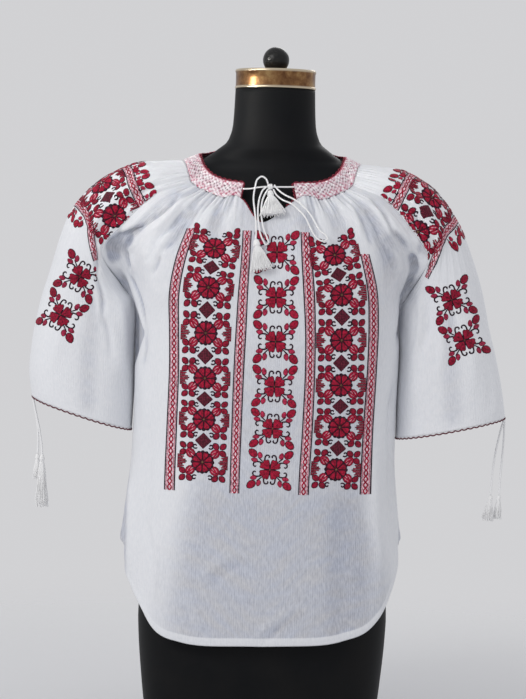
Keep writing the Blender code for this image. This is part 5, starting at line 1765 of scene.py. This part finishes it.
# Each stripe's line across the sleeve: u, v and its width there.
UPPER_STRIPE = {
    -1: ((0.0, 0.376, 12), (0.18, 0.392, 12), (0.34, 0.386, 12), (0.5, 0.385, 12), (0.75, 0.385, 12),
         (1.0, 0.39, 12)),
    1: ((0.0, 0.352, 12), (0.18, 0.366, 12), (0.34, 0.370, 12), (0.5, 0.372, 12), (0.75, 0.375, 12),
        (1.0, 0.38, 12)),
}
LOWER_STRIPE = {
    -1: ((0.150, 0.866, 7), (0.146, 0.850, 8), (0.142, 0.810, 10), (0.160, 0.750, 11), (0.200, 0.705, 12),
         (0.34, 0.700, 12), (0.5, 0.700, 12), (0.75, 0.700, 12), (1.0, 0.72, 12)),
    1: ((0.110, 0.900, 7), (0.105, 0.880, 8), (0.110, 0.820, 10), (0.160, 0.770, 12), (0.24, 0.745, 12),
        (0.36, 0.742, 12), (0.5, 0.735, 12), (0.75, 0.725, 12), (1.0, 0.72, 12)),
}
FIRST_FLOWER = {-1: 17.0, 1: 6.0}
# Front-view centres of the two lower flowers, one more at either end.
LOWER_FLOWERS = {
    -1: ((-220, 640), (-243, 590), (-266, 540), (-289, 490)),
    1: ((215, 623), (232, 572), (249, 521), (266, 470)),
}
# Where a crease swallows the flowers: heights, then how far out they stay in sight.
FLOWER_LIMIT = {-1: ((540, 560, 590, 625), (0, 214, 221, 224)), 1: ((0, 1), (0, 0))}


def fine_line(line):
    """u and v of close points along a line of a sleeve."""
    points = smooth(np.linspace(0, 1, len(line)), line, np.linspace(0, 1, 240))
    return points[:, 0], points[:, 1]


def on_line(panel, line, out, x, y):
    """u and v of pattern points: y runs along a line of the panel, x to its neck side."""
    u, v = fine_line(line)
    places = read_grid(panel, "bare", u, v)
    reach = reach_along(places)
    by_u, by_v = grid_slopes(panel, u, v, SURFACE_STEP)
    by_u[0], by_u[-1] = by_u[1], by_u[-2]
    ahead = unit(np.gradient(places, axis=0))
    aside = np.cross(unit(out * np.cross(by_u, by_v)), ahead)
    aside *= np.where(np.sum(aside * by_v, axis=1) > 0, -1, 1)[:, None]
    uu, vv, uv = (np.sum(a * b, axis=1) for a, b in ((by_u, by_u), (by_v, by_v), (by_u, by_v)))
    su, sv = (np.sum(aside * a, axis=1) for a in (by_u, by_v))
    size = uu * vv - uv * uv
    du = (su * vv - sv * uv) / size
    dv = (sv * uu - su * uv) / size
    u_at, v_at, du_at, dv_at = (np.interp(y, reach, values) for values in (u, v, du, dv))
    over = np.minimum(y, 0) + np.maximum(y - reach[-1], 0)
    rate = np.interp(y, reach, np.gradient(u, reach))
    return u_at + du_at * x + over * rate, v_at + dv_at * x


def line_length(panel, line):
    return reach_along(read_grid(panel, "bare", *fine_line(line)))[-1]


def within(shape, u, margin):
    """Drops the triangles of a shape that lie past a sleeve's seams."""
    points, tris, colours, threads = shape
    kept = np.all((u[tris] > margin) & (u[tris] < 1 - margin), axis=1)
    return points, tris[kept], colours[kept], threads


arch_stem = stitched_line(((11.6, -1.0), (10.6, 3.0), (9.4, 6.4)), 1.4, 0.45, NIGHT)
arch_half = together([arch_stem, set_down(leaf, 10.6, 6.4, 46, scale=0.88),
                      set_down(leaf, 13.0, -1.6, 12, scale=0.58),
                      set_down(sepal, 8.6, 1.0, 52, scale=0.7), set_down(comb_curl, 7.0, 1.6, 40)])
arch = together([arch_half, flipped(arch_half)])
# The lower arches are rounder: their two long leaves close a ring.
ring_stem = stitched_line(((11.6, -1.0), (11.8, 4.4), (10.4, 9.4)), 1.4, 0.45, NIGHT)
ring_half = together([ring_stem, set_down(leaf, 10.6, 8.0, 70, scale=0.78),
                      set_down(leaf, 12.8, 1.4, 8, scale=0.62), set_down(sepal, 8.6, 1.0, 52, scale=0.7)])
ring = together([ring_half, flipped(ring_half)])
# An arch stands with its foot on the stripe: its own upright becomes the way across the sleeve.
arch_outward = set_down(arch, 0, 0, -90)
ring_outward = flipped(set_down(ring, 0, 0, -90))

for side, label in SIDES:
    panel = sleeves[side]
    laid = []
    middle_line = [(u, BAND_MIDDLE) for u in np.linspace(0, 1, 9)]
    length = line_length(panel, middle_line)
    for index in range(-1, 5):
        for shape, at in ((flower_row, index), (block_row, index + 0.5)):
            y = FIRST_FLOWER[side] + SLEEVE_PERIOD * at
            if y < -SLEEVE_OVERHANG or y > length + SLEEVE_OVERHANG:
                continue
            u, v = on_line(panel, middle_line, -side, shape[0][:, 0] * BAND_ACROSS,
                           y + shape[0][:, 1] * (SLEEVE_PERIOD / PERIOD))
            laid.append((within(shape, u, SEAM_MARGIN), u, v))
    # Each stripe with its arches: which side they stand on, where the first is, stretch along it.
    for stripe, way, arch_shape, first, along in ((UPPER_STRIPE[side], 1, arch_outward, 14.0, 1.0),
                                                  (LOWER_STRIPE[side], -1, ring_outward, 78.0, 1.35)):
        line = [row[:2] for row in stripe]
        length = line_length(panel, line)
        shape = braided_stripe(length)
        widths = np.interp(shape[0][:, 1] / length, np.linspace(0, 1, len(line)), [row[2] for row in stripe])
        u, v = on_line(panel, line, -side, shape[0][:, 0] / STRIPE_WIDTH * widths, shape[0][:, 1])
        laid.append((within(shape, u, STRIPE_MARGIN), u, v))
        pitch = ARCH * along
        for count in range(int((length - first + ARCH_OVERHANG) / pitch)):
            u, v = on_line(panel, line, -side, arch_shape[0][:, 0] * ARCH_ACROSS + way * ARCH_FOOT,
                           first + pitch * count + arch_shape[0][:, 1] * along)
            laid.append((within(arch_shape, u, SEAM_MARGIN), u, v))
    pieces, us, vs = zip(*laid)
    stitched_piece("stitched_sleeve_" + label, panel, np.concatenate(us), np.concatenate(vs),
                   together(pieces))
    x, z, shape = strung(LOWER_FLOWERS[side], [(garland_flower, 0), (garland_flower, 1)])
    points, tris, colours, threads = shape
    u, v = seen_at(panel, x, z, *(np.full(len(x), guess) for guess in LOWER_GUESS), 0.01, 0.55)
    outside = np.all((side * x)[tris] > np.interp(z[tris], *FLOWER_LIMIT[side]), axis=1)
    # The lower flowers' colours take the painted shade.
    stitched_piece("stitched_flowers_" + label, panel, u, v,
                   (points, tris[outside], (colours * LOWER_SHADE)[outside], threads))


# ---------------------------------------------------------------- sizes
low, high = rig.bounds()
with open("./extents.json", "w") as size_file:
    json.dump({"cad": [list(cad_low), list(cad_high)], "visual": [list(low), list(high)]}, size_file)
